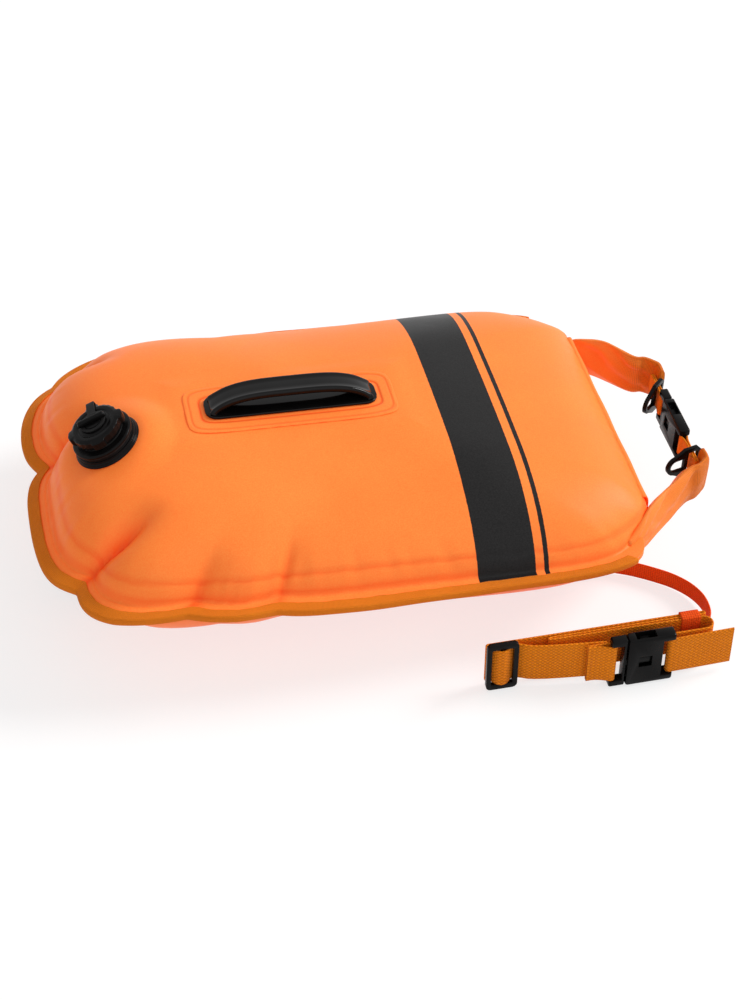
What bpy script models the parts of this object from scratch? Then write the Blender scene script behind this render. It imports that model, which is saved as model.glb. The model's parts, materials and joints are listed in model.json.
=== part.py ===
"""Open water swim buoy: an inflated dry bag with two air chambers, two screw valves, a moulded handle,
a rolled mouth clipped into a loop, a flat leash and a webbing waist belt.

The bag lies on its belly on the ground plane, with the valve end lifted a little by TILT. +X runs from the valve end to the rolled mouth, +Y to the far
side and +Z up. All lengths are in metres and all angles in degrees.
"""
import math

import bmesh
import bpy
from mathutils import Matrix, Vector

# Fits shared by all pieces
FIT = 0.0003
OVERRUN = 0.004
MERGE = 0.00001

# Bag body
TILT = 2.2
SEAM_HEIGHT = 0.0795
VALVE_END = 0.2345
ROLL_END = 0.242
HALF_WIDTH = 0.170
TOP_CROWN = 0.0665
BELLY_CROWN = 0.082
FLANGE_WIDTH = 0.013
MOUTH_FLANGE_WIDTH = 0.004
SEAT_MARGIN = 0.002
SEAT_BLEND = 0.020
SMALL_SEAT_BLEND = 0.012
HOLE_REACH = 0.020
SKIN = 0.001
LINER = 0.0006
LINER_HALF_GAP = 0.0002
NOTCH_DEPTH = 0.013
END_OVERHANG = 0.014
BINDING = 0.0009
BINDING_LIP = 0.0012
BINDING_INSET = 0.0015

# Outline and crown shapes, as powers, angles and shares of the body's sizes
VALVE_END_POWER = 4.3
ROLL_END_POWER = 9.0
SIDE_CROWN_POWER = 2.1
END_CROWN_POWER = 3.0
VALVE_CROWN_POWER = 5.5
BELLY_VALVE_CROWN_POWER = 4.0
CROWN_ROUNDNESS = 0.59
NOTCH_ANGLES = (112.0, 138.0, 166.0, 218.0, 237.0, 258.0)
NOTCH_SHARES = (0.35, 0.6, 1.0, 1.0, 0.8, 0.45)
NOTCH_SPREAD = 3.2
CREASE_SPREAD = 4.2
CREASE_SHARE = 0.42
CREASE_START_SHARE = 0.42
RING_SHARES = (0.2, 0.46, 0.6, 0.72, 0.81, 0.89, 0.95, 0.985, 1.0)
WELD_START_SHARE = 0.98
COARSE_STEP = 10.0
FINE_STEP = 7.5
MOUTH_ANGLE = 36.0
MOUTH_BLEND = 10.0

# Rolled mouth
ROLL_HEIGHT = 0.044
ROLL_THICKNESS = 0.011
ROLL_HALF_LENGTH = 0.112
EAR_THICKNESS = 0.008
EAR_TIP_HEIGHT = 0.036
STIFFENER_HEIGHT = 0.028
STIFFENER = 0.0012

# Buckled loop of the roll's ends
CLOSURE_X = 0.3152
CLOSURE_MOUTH_Y = 0.0142
TAB_WIDTH = 0.020
TAB_THICKNESS = 0.0016
FAR_TAB_LENGTH = 0.0315
NEAR_TAB_LENGTH = 0.0355
TAB_TAPER = 0.004
FAR_RING_PIVOT = 0.0145
NEAR_RING_PIVOT = 0.0225
RING_LENGTH = 0.034
RING_HEIGHT = 0.030
RING_THICKNESS = 0.003
RING_BAR = 0.0035
RING_SLOT = 0.0095
RING_CORNER = 0.004
FAR_RING_TURN = 45.0
NEAR_RING_TURN = 17.0

# Screw valves
TOP_VALVE_SHARE = 0.765
TOP_VALVE_ANGLE = 187.0
TOP_VALVE_LEAN = 9.0
BOTTOM_VALVE_SHARE = 0.86
BOTTOM_VALVE_ANGLE = 187.0
VALVE_FLANGE_RADIUS = 0.0285
VALVE_NECK_RADIUS = 0.0232
VALVE_BORE_RADIUS = 0.0200
VALVE_NECK_TOP = 0.0072
VALVE_NECK_BOTTOM = 0.0090
VALVE_FLANGE = 0.0016
SEAL = 0.0014
INSERT_COLLAR_RADIUS = 0.0262
INSERT_COLLAR = 0.0026
INSERT_NECK_RADIUS = 0.0165
INSERT_BORE_RADIUS = 0.0135
INSERT_NECK_HEIGHT = 0.0085
GRID = 0.0015
FLAP = 0.0010
FLAP_TRAVEL = 0.0020
STUD_RADIUS = 0.0018
STUD_HEAD_RADIUS = 0.0038
CAP_RADIUS = 0.0212
CAP_WALL = 0.0022
CAP_LUG = 0.0028
CAP_SEAL = 0.0012
TETHER_WIDTH = 0.0030
TETHER_THICKNESS = 0.0018
FIN_HEIGHT = 0.0050
FIN_WIDTH = 0.0040

# Handle
HANDLE_X = -0.026
HANDLE_LENGTH = 0.136
HANDLE_HEIGHT = 0.0170
HANDLE_WIDTH = 0.022
GRIP_THICKNESS = 0.0058
HANDLE_BASE = 0.0022
HANDLE_BASE_MARGIN = 0.004
HANDLE_PATCH = 0.0009
HANDLE_PATCH_MARGIN = 0.020

# Waist belt
WEBBING_WIDTH = 0.038
WEBBING = 0.0016
BELT_CENTRE_Z = 0.026
BELT_BUCKLE_X = 0.204
BELT_BUCKLE_Y = -0.2315
BELT_LOOP_LENGTH = 0.020
BELT_LOOP_TAPER = 0.0085
TRIGLIDE_X = 0.1055
TRIGLIDE_Y = -0.2170
BELT_BACK_Y = -0.2095
BELT_FOLD_X = 0.2745
BELT_INNER_FOLD_X = 0.146
BELT_TAIL_X = 0.293
LAYER_STEP = 0.0026
TRIGLIDE_HEIGHT = 0.050
TRIGLIDE = 0.004
TRIGLIDE_BAR = 0.004
TRIGLIDE_SLOT = 0.0070

# Leash
LEASH_WIDTH = 0.016
LEASH = 0.0015
ANCHOR_SHARE = 0.62
ANCHOR_ANGLE = -40.0
ANCHOR_LENGTH = 0.036
ANCHOR_WIDTH = 0.026
ANCHOR = 0.0012
LEASH_LOOP_X = 0.2625
LEASH_END_Z = 0.018
LEASH_POINTS = [
    (0.2000, -0.0985, 0.0100), (0.2265, -0.1055, 0.0100), (0.2375, -0.1095, 0.0092), (0.2490, -0.1150, 0.0088),
    (0.2625, -0.1240, 0.0088), (0.2765, -0.1355, 0.0090), (0.2870, -0.1495, 0.0096), (0.2925, -0.1650, 0.0106),
    (0.2925, -0.1810, 0.0122), (0.2880, -0.1950, 0.0142)]

# Side release buckles
BELT_BUCKLE_THICKNESS = 0.0110
BELT_HOUSING = 0.029
CLOSURE_BUCKLE_THICKNESS = 0.0100
CLOSURE_HOUSING = 0.036
BUCKLE_MARGIN = 0.0065
BUCKLE_WALL = 0.0017
BUCKLE_SIDE_WALL = 0.004
BUCKLE_BAR = 0.0038
BUCKLE_SLOT = 0.0068
BUCKLE_BASE_LAND = 0.0030
BUCKLE_BASE_INSET = 0.0014
BUCKLE_CORNER = 0.0022
PRONG = 0.0032
PRONG_PLACE_SHARE = 0.68
PRONG_HINGE_X = 0.0015
LEVER_START = 0.0095
LEVER_LENGTH = 0.0110
LEVER_NOSE = 0.0030
TONGUE = 0.006
FACE_WINDOW = 0.011

# Colours
ORANGE = (1.0, 0.17, 0.02, 1.0)
DEEP_ORANGE = (0.75, 0.13, 0.01, 1.0)
WEBBING_ORANGE = (0.80, 0.18, 0.01, 1.0)
BLACK = (0.012, 0.012, 0.013, 1.0)
RUBBER_BLACK = (0.03, 0.03, 0.03, 1.0)
CLEAR_GREY = (0.55, 0.55, 0.52, 1.0)


class BuckleSizes:
    """Sizes of one side release buckle, made for one width of webbing."""

    def __init__(self, webbing_width, webbing, thickness, housing_length):
        self.webbing_width = webbing_width
        self.webbing = webbing
        self.thickness = thickness
        self.housing_length = housing_length
        self.margin = BUCKLE_MARGIN
        self.wall = BUCKLE_WALL
        self.side_wall = BUCKLE_SIDE_WALL
        self.bar = BUCKLE_BAR
        self.slot = BUCKLE_SLOT
        self.base_land = BUCKLE_BASE_LAND
        self.base_inset = BUCKLE_BASE_INSET
        self.prong = PRONG
        self.lever_start = LEVER_START
        self.lever_length = LEVER_LENGTH
        self.lever_nose = LEVER_NOSE
        self.tongue = TONGUE
        self.window = FACE_WINDOW
        self.corner = BUCKLE_CORNER

    @property
    def width(self):
        return self.webbing_width + 2 * self.margin

    @property
    def cavity_half_width(self):
        return self.width / 2 - self.side_wall

    @property
    def inner_thickness(self):
        return self.thickness - 2 * self.wall - 2 * FIT

    @property
    def cavity_length(self):
        return self.housing_length - self.side_wall / 2

    @property
    def base_length(self):
        return self.bar + self.slot + self.base_land

    @property
    def base_half_thickness(self):
        return self.thickness / 2 - self.base_inset

    @property
    def slot_half_width(self):
        return self.webbing_width / 2 + 2 * FIT

    @property
    def male_bar_x(self):
        return self.bar / 2 - self.base_length

    @property
    def female_bar_x(self):
        return self.housing_length + self.slot + self.bar / 2

    @property
    def hinge_z(self):
        return self.cavity_half_width * PRONG_PLACE_SHARE

    @property
    def hairpin(self):
        return self.bar / 2 + FIT + self.webbing / 2


BELT_BUCKLE = BuckleSizes(WEBBING_WIDTH, WEBBING, BELT_BUCKLE_THICKNESS, BELT_HOUSING)
CLOSURE_BUCKLE = BuckleSizes(TAB_WIDTH, TAB_THICKNESS, CLOSURE_BUCKLE_THICKNESS, CLOSURE_HOUSING)


def clear_scene():
    for item in list(bpy.data.objects):
        bpy.data.objects.remove(item, do_unlink=True)


def new_collection(name):
    collection = bpy.data.collections.new(name)
    bpy.context.scene.collection.children.link(collection)
    return collection


def material(name, colour, roughness, metallic=0.0):
    made = bpy.data.materials.new(name)
    made.use_nodes = True
    shader = made.node_tree.nodes["Principled BSDF"]
    shader.inputs["Base Color"].default_value = colour
    shader.inputs["Roughness"].default_value = roughness
    shader.inputs["Metallic"].default_value = metallic
    return made


clear_scene()
PARTS = new_collection("open_water_swim_buoy")
CUTTERS = new_collection("cutters")


# Placing

BODY_START = -VALVE_END - FLANGE_WIDTH - BINDING_LIP - FIT
BODY_END = CLOSURE_X + FIT / 2 + TAB_THICKNESS + FIT + EAR_THICKNESS
LEVEL, SLOPE = math.cos(math.radians(TILT)), math.sin(math.radians(TILT))
BAG_PLACE = (
    Matrix.Translation((0, 0, SEAM_HEIGHT)) @ Matrix.Rotation(math.radians(TILT), 4, "Y")
    @ Matrix.Translation((0, 0, -SEAM_HEIGHT)))


def frame_object(name, matrix, parent=None):
    """An empty that carries pieces and holds a joint's axis."""
    empty = bpy.data.objects.new(name, None)
    empty.parent = parent
    empty.matrix_local = matrix
    PARTS.objects.link(empty)
    return empty


GROUND = frame_object("ground_frame", Matrix.Translation(
    (-((BODY_START + BODY_END) * LEVEL + EAR_TIP_HEIGHT / 2 * SLOPE) / 2, 0, 0)))
BAG = frame_object("bag_frame", BAG_PLACE, GROUND)


def add_object(name, data, look, parent=BAG, matrix=None):
    """One named piece with its own material, placed in its parent's frame."""
    made = bpy.data.objects.new(name, data)
    colour, roughness = look
    data.materials.append(material(name, colour, roughness))
    made.parent = parent
    made.matrix_local = matrix or Matrix.Identity(4)
    PARTS.objects.link(made)
    return made


def cutter_object(name, data, parent=BAG, matrix=None):
    made = bpy.data.objects.new(name, data)
    made.parent = parent
    made.matrix_local = matrix or Matrix.Identity(4)
    made.hide_render = True
    made.display_type = "WIRE"
    CUTTERS.objects.link(made)
    return made


def boolean(target, other, operation="DIFFERENCE"):
    modifier = target.modifiers.new(operation.lower() + " " + other.name, "BOOLEAN")
    modifier.operation = operation
    modifier.solver = "EXACT"
    modifier.object = other
    return modifier


# Shapes


def finish_mesh(name, shape):
    bmesh.ops.recalc_face_normals(shape, faces=shape.faces)
    mesh = bpy.data.meshes.new(name)
    shape.to_mesh(mesh)
    shape.free()
    return mesh


def box_mesh(name, low, high):
    """A box from its lowest corner to its highest."""
    shape = bmesh.new()
    bmesh.ops.create_cube(shape, size=1.0)
    size = Vector(high) - Vector(low)
    centre = (Vector(high) + Vector(low)) / 2
    bmesh.ops.scale(shape, vec=size, verts=shape.verts)
    bmesh.ops.translate(shape, vec=centre, verts=shape.verts)
    return finish_mesh(name, shape)


def cylinder_mesh(name, radius, low, high, segments=28):
    shape = bmesh.new()
    bmesh.ops.create_cone(
        shape, cap_ends=True, segments=segments, radius1=radius, radius2=radius, depth=high - low)
    bmesh.ops.translate(shape, vec=(0, 0, (high + low) / 2), verts=shape.verts)
    return finish_mesh(name, shape)


def loft_mesh(name, rings, capped=True, closed=False):
    """A skin through rings of equally many points; closed joins the last ring to the first."""
    shape = bmesh.new()
    rows = [[shape.verts.new(point) for point in ring] for ring in rings]
    pairs = list(zip(rows, rows[1:]))
    if closed:
        pairs.append((rows[-1], rows[0]))
    count = len(rows[0])
    for row, after in pairs:
        for i in range(count):
            j = (i + 1) % count
            shape.faces.new((row[i], row[j], after[j], after[i]))
    if capped and not closed:
        shape.faces.new(rows[0])
        shape.faces.new(rows[-1])
    return finish_mesh(name, shape)


def turned(name, profile, look, parent, ring=False, steps=24):
    """A body of revolution about Z from (radius, height) points that run down its outer side."""
    shape = bmesh.new()
    verts = [shape.verts.new((radius, 0, height)) for radius, height in profile]
    for start, end in zip(verts, verts[1:]):
        shape.edges.new((start, end))
    if ring:
        shape.edges.new((verts[-1], verts[0]))
    mesh = bpy.data.meshes.new(name)
    shape.to_mesh(mesh)
    shape.free()
    made = add_object(name, mesh, look, parent)
    screw = made.modifiers.new("turn", "SCREW")
    screw.axis = "Z"
    screw.steps = steps
    screw.render_steps = steps
    screw.use_merge_vertices = True
    screw.merge_threshold = MERGE
    screw.use_smooth_shade = True
    return made


def rounded_rectangle(width, height, radius, arc_steps=3):
    """Corner arcs of a rectangle about the origin, anticlockwise."""
    points = []
    corners = ((1, 1, 0), (-1, 1, 90), (-1, -1, 180), (1, -1, 270))
    for sign_x, sign_y, start in corners:
        centre_x = sign_x * (width / 2 - radius)
        centre_y = sign_y * (height / 2 - radius)
        for step in range(arc_steps + 1):
            angle = math.radians(start + 90 * step / arc_steps)
            points.append((centre_x + radius * math.cos(angle), centre_y + radius * math.sin(angle)))
    return points


def moved(points, x=0.0, y=0.0):
    return [(point_x + x, point_y + y) for point_x, point_y in points]


def plate_mesh(name, outlines, thickness):
    """A flat plate about its own mid-plane, from one outline and any holes, made of a filled 2D curve."""
    curve = bpy.data.curves.new(name, "CURVE")
    curve.dimensions = "2D"
    curve.fill_mode = "BOTH"
    curve.extrude = thickness / 2
    for outline in outlines:
        spline = curve.splines.new("POLY")
        spline.points.add(len(outline) - 1)
        for point, (x, y) in zip(spline.points, outline):
            point.co = (x, y, 0, 1)
        spline.use_cyclic_u = True
    holder = bpy.data.objects.new(name, curve)
    bpy.context.scene.collection.objects.link(holder)
    graph = bpy.context.evaluated_depsgraph_get()
    mesh = bpy.data.meshes.new_from_object(holder.evaluated_get(graph))
    bpy.data.objects.remove(holder)
    shape = bmesh.new()
    shape.from_mesh(mesh)
    bmesh.ops.remove_doubles(shape, verts=shape.verts, dist=MERGE)
    bmesh.ops.recalc_face_normals(shape, faces=shape.faces)
    shape.to_mesh(mesh)
    shape.free()
    return mesh


def smooth_path(points, steps):
    """A smooth curve through hand-chosen points, with steps points for each span."""
    points = [Vector(point) for point in points]
    ends = [2 * points[0] - points[1]] + points + [2 * points[-1] - points[-2]]
    path = []
    for before, start, end, after in zip(ends, ends[1:], ends[2:], ends[3:]):
        for step in range(steps):
            t = step / steps
            path.append(0.5 * (
                2 * start + (end - before) * t
                + (2 * before - 5 * start + 4 * end - after) * t ** 2
                + (3 * start - before - 3 * end + after) * t ** 3))
    path.append(points[-1])
    return path


SQUARE_SECTION_SHARES = ((-0.5, -0.5), (0.5, -0.5), (0.5, 0.5), (-0.5, 0.5))
SOFT_SECTION_SHARES = (
    (-0.5, -0.2), (-0.43, -0.5), (0.43, -0.5), (0.5, -0.2), (0.5, 0.2), (0.43, 0.5), (-0.43, 0.5), (-0.5, 0.2))


def swept_rings(points, width, thickness, ups, section=SQUARE_SECTION_SHARES, end_width=None):
    """Sections of a strip along a path. ups holds the direction of its width at each point."""
    points = [Vector(point) for point in points]
    last = len(points) - 1
    end_width = width if end_width is None else end_width
    rings = []
    for i, point in enumerate(points):
        before = (point - points[i - 1]).normalized() if i else None
        after = (points[i + 1] - point).normalized() if i < last else None
        tangent = ((before or after) + (after or before)).normalized()
        mitre = 1 / max(0.4, tangent.dot(after or before))
        up = ups[i] if isinstance(ups, list) else Vector(ups)
        up = (up - tangent * up.dot(tangent)).normalized()
        side = tangent.cross(up)
        wide = width + (end_width - width) * i / last
        rings.append([point + up * (a * wide) + side * (b * thickness * mitre) for a, b in section])
    return rings


def arc(centre, radius, start, end, steps):
    """Points in plan along an arc, both ends included."""
    points = []
    for step in range(steps + 1):
        angle = math.radians(start + (end - start) * step / steps)
        points.append((centre[0] + radius * math.cos(angle), centre[1] + radius * math.sin(angle)))
    return points


def at_height(points, z):
    return [(x, y, z) for x, y in points]


# Body surface


def eased(value):
    value = min(1.0, max(0.0, value))
    return value * value * (3 - 2 * value)


def notch(angle, spread):
    """How much of a gathered notch there is in a direction, from 0 to 1."""
    angle = angle % 360
    most = 0.0
    for place, share in zip(NOTCH_ANGLES, NOTCH_SHARES):
        most = max(most, share * math.exp(-((angle - place) / spread) ** 2))
    return most


def mouth(angle):
    """1 where the rolled mouth closes the bag, 0 round the rest of the seam."""
    away = abs((angle + 180) % 360 - 180)
    return eased((MOUTH_ANGLE + MOUTH_BLEND - away) / MOUTH_BLEND)


def weld_point(angle):
    """The weld line in plan, in a direction of the body's unit square."""
    c, s = math.cos(math.radians(angle)), math.sin(math.radians(angle))
    power, length = (VALVE_END_POWER, VALVE_END) if c < 0 else (ROLL_END_POWER, ROLL_END)
    reach = (abs(c) ** power + abs(s) ** power) ** (-1 / power)
    point = Vector((length * c * reach, HALF_WIDTH * s * reach))
    return point * (1 - notch(angle, NOTCH_SPREAD) * NOTCH_DEPTH / point.length)


def seam_point(angle, outward, mouth_outward=None):
    """A point in plan outside the weld line by outward, which may differ at the mouth."""
    point = weld_point(angle)
    if mouth_outward is not None:
        outward = outward + (mouth_outward - outward) * mouth(angle)
    return point + point.normalized() * outward


def skin_point(share, angle, crown, side):
    """The outer surface at a share of the way from the body's middle to the weld line."""
    c = math.cos(math.radians(angle))
    end_power = END_CROWN_POWER
    if c < 0:
        end_power = VALVE_CROWN_POWER if side > 0 else BELLY_VALVE_CROWN_POWER
    power = SIDE_CROWN_POWER + (end_power - SIDE_CROWN_POWER) * c * c
    rise = max(0.0, 1 - share ** power) ** CROWN_ROUNDNESS
    rise *= 1 - CREASE_SHARE * notch(angle, CREASE_SPREAD) * eased((share - CREASE_START_SHARE) / 0.5)
    plan = weld_point(angle) * share
    plan.x += END_OVERHANG * mouth(angle) * eased((0.985 - share) / 0.05) * eased((share - 0.45) / 0.4)
    height = skin_edge() + rise * (crown - skin_edge())
    if side < 0:
        height = min(height, (SEAM_HEIGHT - plan.x * SLOPE) / LEVEL)
    return Vector((plan.x, plan.y, SEAM_HEIGHT + side * height))


def skin_edge():
    """Height of a skin's outer face over the seam plane along the weld."""
    return LINER_HALF_GAP + LINER + FIT + SKIN


def skin_frame(share, angle, crown, side):
    """A frame on the skin: its Z points out of the bag, and its X lies in the plane of the world's X and Z."""
    step = 0.01
    point = skin_point(share, angle, crown, side)
    along = skin_point(share + step, angle, crown, side) - skin_point(share - step, angle, crown, side)
    across = skin_point(share, angle + step, crown, side) - skin_point(share, angle - step, crown, side)
    normal = along.cross(across).normalized()
    if normal.z * side < 0:
        normal = -normal
    x_axis = (Vector((1, 0, 0)) - normal * normal.x).normalized()
    y_axis = normal.cross(x_axis)
    frame = Matrix((x_axis, y_axis, normal)).transposed().to_4x4()
    frame.translation = point
    return frame


def flattened(point, seats):
    """Draws a point of the skin to the flat seat of what is welded on there."""
    for frame, half_x, half_y, margin in seats:
        local = frame.inverted() @ point
        away = max(abs(local.x) - half_x, abs(local.y) - half_y, 0)
        if abs(local.z) < margin:
            local.z *= eased(away / margin)
            point = frame @ local
    return point


def seam_angles():
    """Directions that sample the outline, with more of them at each gathered notch."""
    angles = [i * FINE_STEP for i in range(int(360 / FINE_STEP)) if 99 <= i * FINE_STEP <= 270]
    angles += [i * COARSE_STEP for i in range(int(360 / COARSE_STEP)) if not 99 <= i * COARSE_STEP <= 270]
    for place in NOTCH_ANGLES:
        angles = [angle for angle in angles if abs(angle - place) > 0.8 * NOTCH_SPREAD]
        angles += [place - NOTCH_SPREAD * 0.75, place, place + NOTCH_SPREAD * 0.75]
    return sorted(angles)


ANGLES = seam_angles()
TOP_VALVE_FRAME = (
    skin_frame(TOP_VALVE_SHARE, TOP_VALVE_ANGLE, TOP_CROWN, 1)
    @ Matrix.Rotation(math.radians(-TOP_VALVE_LEAN), 4, "Y"))
BOTTOM_VALVE_FRAME = skin_frame(BOTTOM_VALVE_SHARE, BOTTOM_VALVE_ANGLE, BELLY_CROWN, -1)
ANCHOR_FRAME = skin_frame(ANCHOR_SHARE, ANCHOR_ANGLE, BELLY_CROWN, -1)
HANDLE_FRAME = Matrix.Translation((HANDLE_X, 0, SEAM_HEIGHT + TOP_CROWN))
VALVE_SEAT = VALVE_FLANGE_RADIUS + SEAT_MARGIN
HANDLE_HALF_PATCH = (HANDLE_LENGTH / 2 + HANDLE_PATCH_MARGIN, HANDLE_WIDTH / 2 + HANDLE_PATCH_MARGIN)
TOP_SEATS = (
    (TOP_VALVE_FRAME, VALVE_SEAT, VALVE_SEAT, SMALL_SEAT_BLEND),
    (HANDLE_FRAME, HANDLE_HALF_PATCH[0], HANDLE_HALF_PATCH[1], SEAT_BLEND))
BELLY_SEATS = (
    (BOTTOM_VALVE_FRAME, VALVE_SEAT, VALVE_SEAT, SMALL_SEAT_BLEND),
    (ANCHOR_FRAME, ANCHOR_LENGTH / 2, ANCHOR_WIDTH / 2, SMALL_SEAT_BLEND))


def build_skin(name, crown, side, seats, hole_frame, look):
    """One outer panel: crown, weld line and its half of the seam flange, with the valve's hole."""
    shape = bmesh.new()
    rows = []
    for share in RING_SHARES:
        points = [skin_point(share, angle, crown, side) for angle in ANGLES]
        if share < WELD_START_SHARE:
            points = [flattened(point, seats) for point in points]
        rows.append([shape.verts.new(point) for point in points])
    flange = []
    for angle in ANGLES:
        x, y = seam_point(angle, FLANGE_WIDTH, MOUTH_FLANGE_WIDTH)
        flange.append(shape.verts.new((x, y, SEAM_HEIGHT + side * skin_edge())))
    rows.append(flange)
    count = len(ANGLES)
    for row, after in zip(rows, rows[1:]):
        for i in range(count):
            j = (i + 1) % count
            shape.faces.new((row[i], after[i], after[j], row[j]))
    shape.faces.new(rows[0])
    if side < 0:
        bmesh.ops.reverse_faces(shape, faces=shape.faces)
    mesh = bpy.data.meshes.new(name)
    shape.to_mesh(mesh)
    shape.free()
    made = add_object(name, mesh, look)
    wall = made.modifiers.new("wall", "SOLIDIFY")
    wall.thickness = SKIN
    wall.offset = -1
    wall.use_even_offset = False
    hole = cutter_object(
        name + "_hole", cylinder_mesh(name + "_hole", VALVE_NECK_RADIUS + FIT, -HOLE_REACH, HOLE_REACH), matrix=hole_frame)
    boolean(made, hole)
    return made


def build_liner(name, side, look):
    """A flat sheet that closes one air chamber along the seam plane."""
    outline = [tuple(seam_point(angle, FLANGE_WIDTH, MOUTH_FLANGE_WIDTH)) for angle in ANGLES]
    height = SEAM_HEIGHT + side * (LINER_HALF_GAP + LINER / 2)
    return add_object(name, plate_mesh(name, [outline], LINER), look, matrix=Matrix.Translation((0, 0, height)))


def build_binding(look):
    """Woven tape folded over the seam flange, open at the mouth."""
    stack = skin_edge() + FIT
    outer = stack + BINDING
    inset = BINDING_INSET - FLANGE_WIDTH
    slot_end = FIT
    section = (
        (inset, outer), (slot_end + BINDING / 2, outer), (BINDING_LIP + FIT, outer / 2),
        (BINDING_LIP + FIT, -outer / 2), (slot_end + BINDING / 2, -outer), (inset, -outer),
        (inset, -stack), (slot_end, -stack), (slot_end, stack), (inset, stack))
    start = MOUTH_ANGLE + MOUTH_BLEND
    angles = [start] + [angle for angle in ANGLES if start + 1 < angle < 359 - start] + [360 - start]
    rings = []
    for angle in angles:
        ring = []
        for outward, height in section:
            x, y = seam_point(angle, FLANGE_WIDTH + outward)
            ring.append((x, y, SEAM_HEIGHT + height))
        rings.append(ring)
    return add_object("seam_binding", loft_mesh("seam_binding", rings), look)


# Rolled mouth

ROLL_X = ROLL_END + MOUTH_FLANGE_WIDTH + FIT + ROLL_THICKNESS / 2


def tip_x():
    """Mid-plane of an ear's end, on the outer side of the webbing tab."""
    return BODY_END - EAR_THICKNESS / 2


def tab_end_y(side):
    """Where a webbing tab ends in the ear, on the far side (1) or the near side (-1)."""
    sizes = CLOSURE_BUCKLE
    if side > 0:
        return CLOSURE_MOUTH_Y - sizes.male_bar_x + FAR_TAB_LENGTH
    return CLOSURE_MOUTH_Y - sizes.female_bar_x - NEAR_TAB_LENGTH


def ear_root_path(side):
    """Plan of an ear: out of the roll, round the bag's corner and towards the buckle."""
    start = ROLL_HALF_LENGTH + FIT
    bend = EAR_THICKNESS
    turn = arc((ROLL_X + bend, start + bend / 2), bend, 180, 55, 5)
    end_y = abs(tab_end_y(side)) + 2.4 * EAR_THICKNESS
    reach = tip_x() - ROLL_X
    middle = (ROLL_X + 0.45 * reach, start - 0.1 * (start - end_y))
    path = [(ROLL_X, start)] + turn + [middle, (tip_x() - 2.6 * EAR_THICKNESS, end_y)]
    return [(x, side * y) for x, y in path]


def ear_tip_path(side):
    """Plan of an ear's end: it turns in behind the tab and lies along its outer side."""
    end_y = abs(tab_end_y(side))
    fold = EAR_THICKNESS
    path = [
        (tip_x() - 1.25 * fold, end_y + 1.7 * fold), (tip_x() - 0.5 * fold, end_y + 1.05 * fold),
        (tip_x(), end_y + 0.4 * fold), (tip_x(), end_y - 0.84 * fold)]
    return [(x, side * y) for x, y in path]


def build_roll(look, stiffener_look):
    """The rolled mouth with its stiffening strip inside and its two ears."""
    section = [(a * ROLL_THICKNESS, b * ROLL_HEIGHT) for b, a in SOFT_SECTION_SHARES]
    slot = rounded_rectangle(
        STIFFENER + 2 * FIT, STIFFENER_HEIGHT + 2 * FIT, STIFFENER / 2, 2)
    lay = Matrix.Translation((ROLL_X, 0, SEAM_HEIGHT)) @ Matrix.Rotation(math.radians(90), 4, "X")
    add_object(
        "rolled_mouth", plate_mesh("rolled_mouth", [section, slot], 2 * ROLL_HALF_LENGTH), look, matrix=lay)
    strip = rounded_rectangle(STIFFENER, STIFFENER_HEIGHT, STIFFENER / 2 - FIT, 2)
    add_object(
        "mouth_stiffener", plate_mesh("mouth_stiffener", [strip], 2 * ROLL_HALF_LENGTH), stiffener_look,
        matrix=lay)
    build_ear("far_roll_ear", ear_root_path(1), ROLL_HEIGHT, look)
    build_ear("near_roll_ear", ear_root_path(-1) + ear_tip_path(-1), ROLL_HEIGHT, look)


CLOSURE_PLACE = (
    Matrix.Translation((CLOSURE_X, CLOSURE_MOUTH_Y, SEAM_HEIGHT)) @ Matrix.Rotation(math.radians(-90), 4, "Z"))


def build_ear(name, path, height, look, slide=None):
    """A fabric ear along its plan path; slide is the buckle's frame, where the ear moves with it."""
    to_local = CLOSURE_PLACE.inverted() if slide else Matrix.Identity(4)
    rings = swept_rings(
        at_height(path, SEAM_HEIGHT), height, EAR_THICKNESS, (0, 0, 1), SOFT_SECTION_SHARES, EAR_TIP_HEIGHT)
    rings = [[to_local @ point for point in ring] for ring in rings]
    return add_object(name, loft_mesh(name, rings), look, slide or BAG)


# Buckles


def hairpin_path(sizes, bar_x, reach, taper, lean=0.0):
    """Plan of webbing folded round a buckle's bar; both layers run off together by reach, which is signed."""
    away = math.copysign(1, reach)
    layer = (sizes.webbing + FIT) / 2
    turn = [(bar_x - away * x, y) for x, y in arc((0, 0), sizes.hairpin, 90, -90, 6)]
    joined = bar_x + away * (sizes.hairpin + taper)
    return (
        [(bar_x + reach, lean + layer), (joined, lean + layer)] + turn
        + [(joined, lean - layer), (bar_x + reach, lean - layer)])


def build_hairpin(name, sizes, bar_x, reach, parent, look, taper=TAB_TAPER, lean=0.0):
    path = at_height(hairpin_path(sizes, bar_x, reach, taper, lean), 0)
    rings = swept_rings(path, sizes.webbing_width, sizes.webbing, (0, 0, 1))
    return add_object(name, loft_mesh(name, rings), look, parent)


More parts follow.
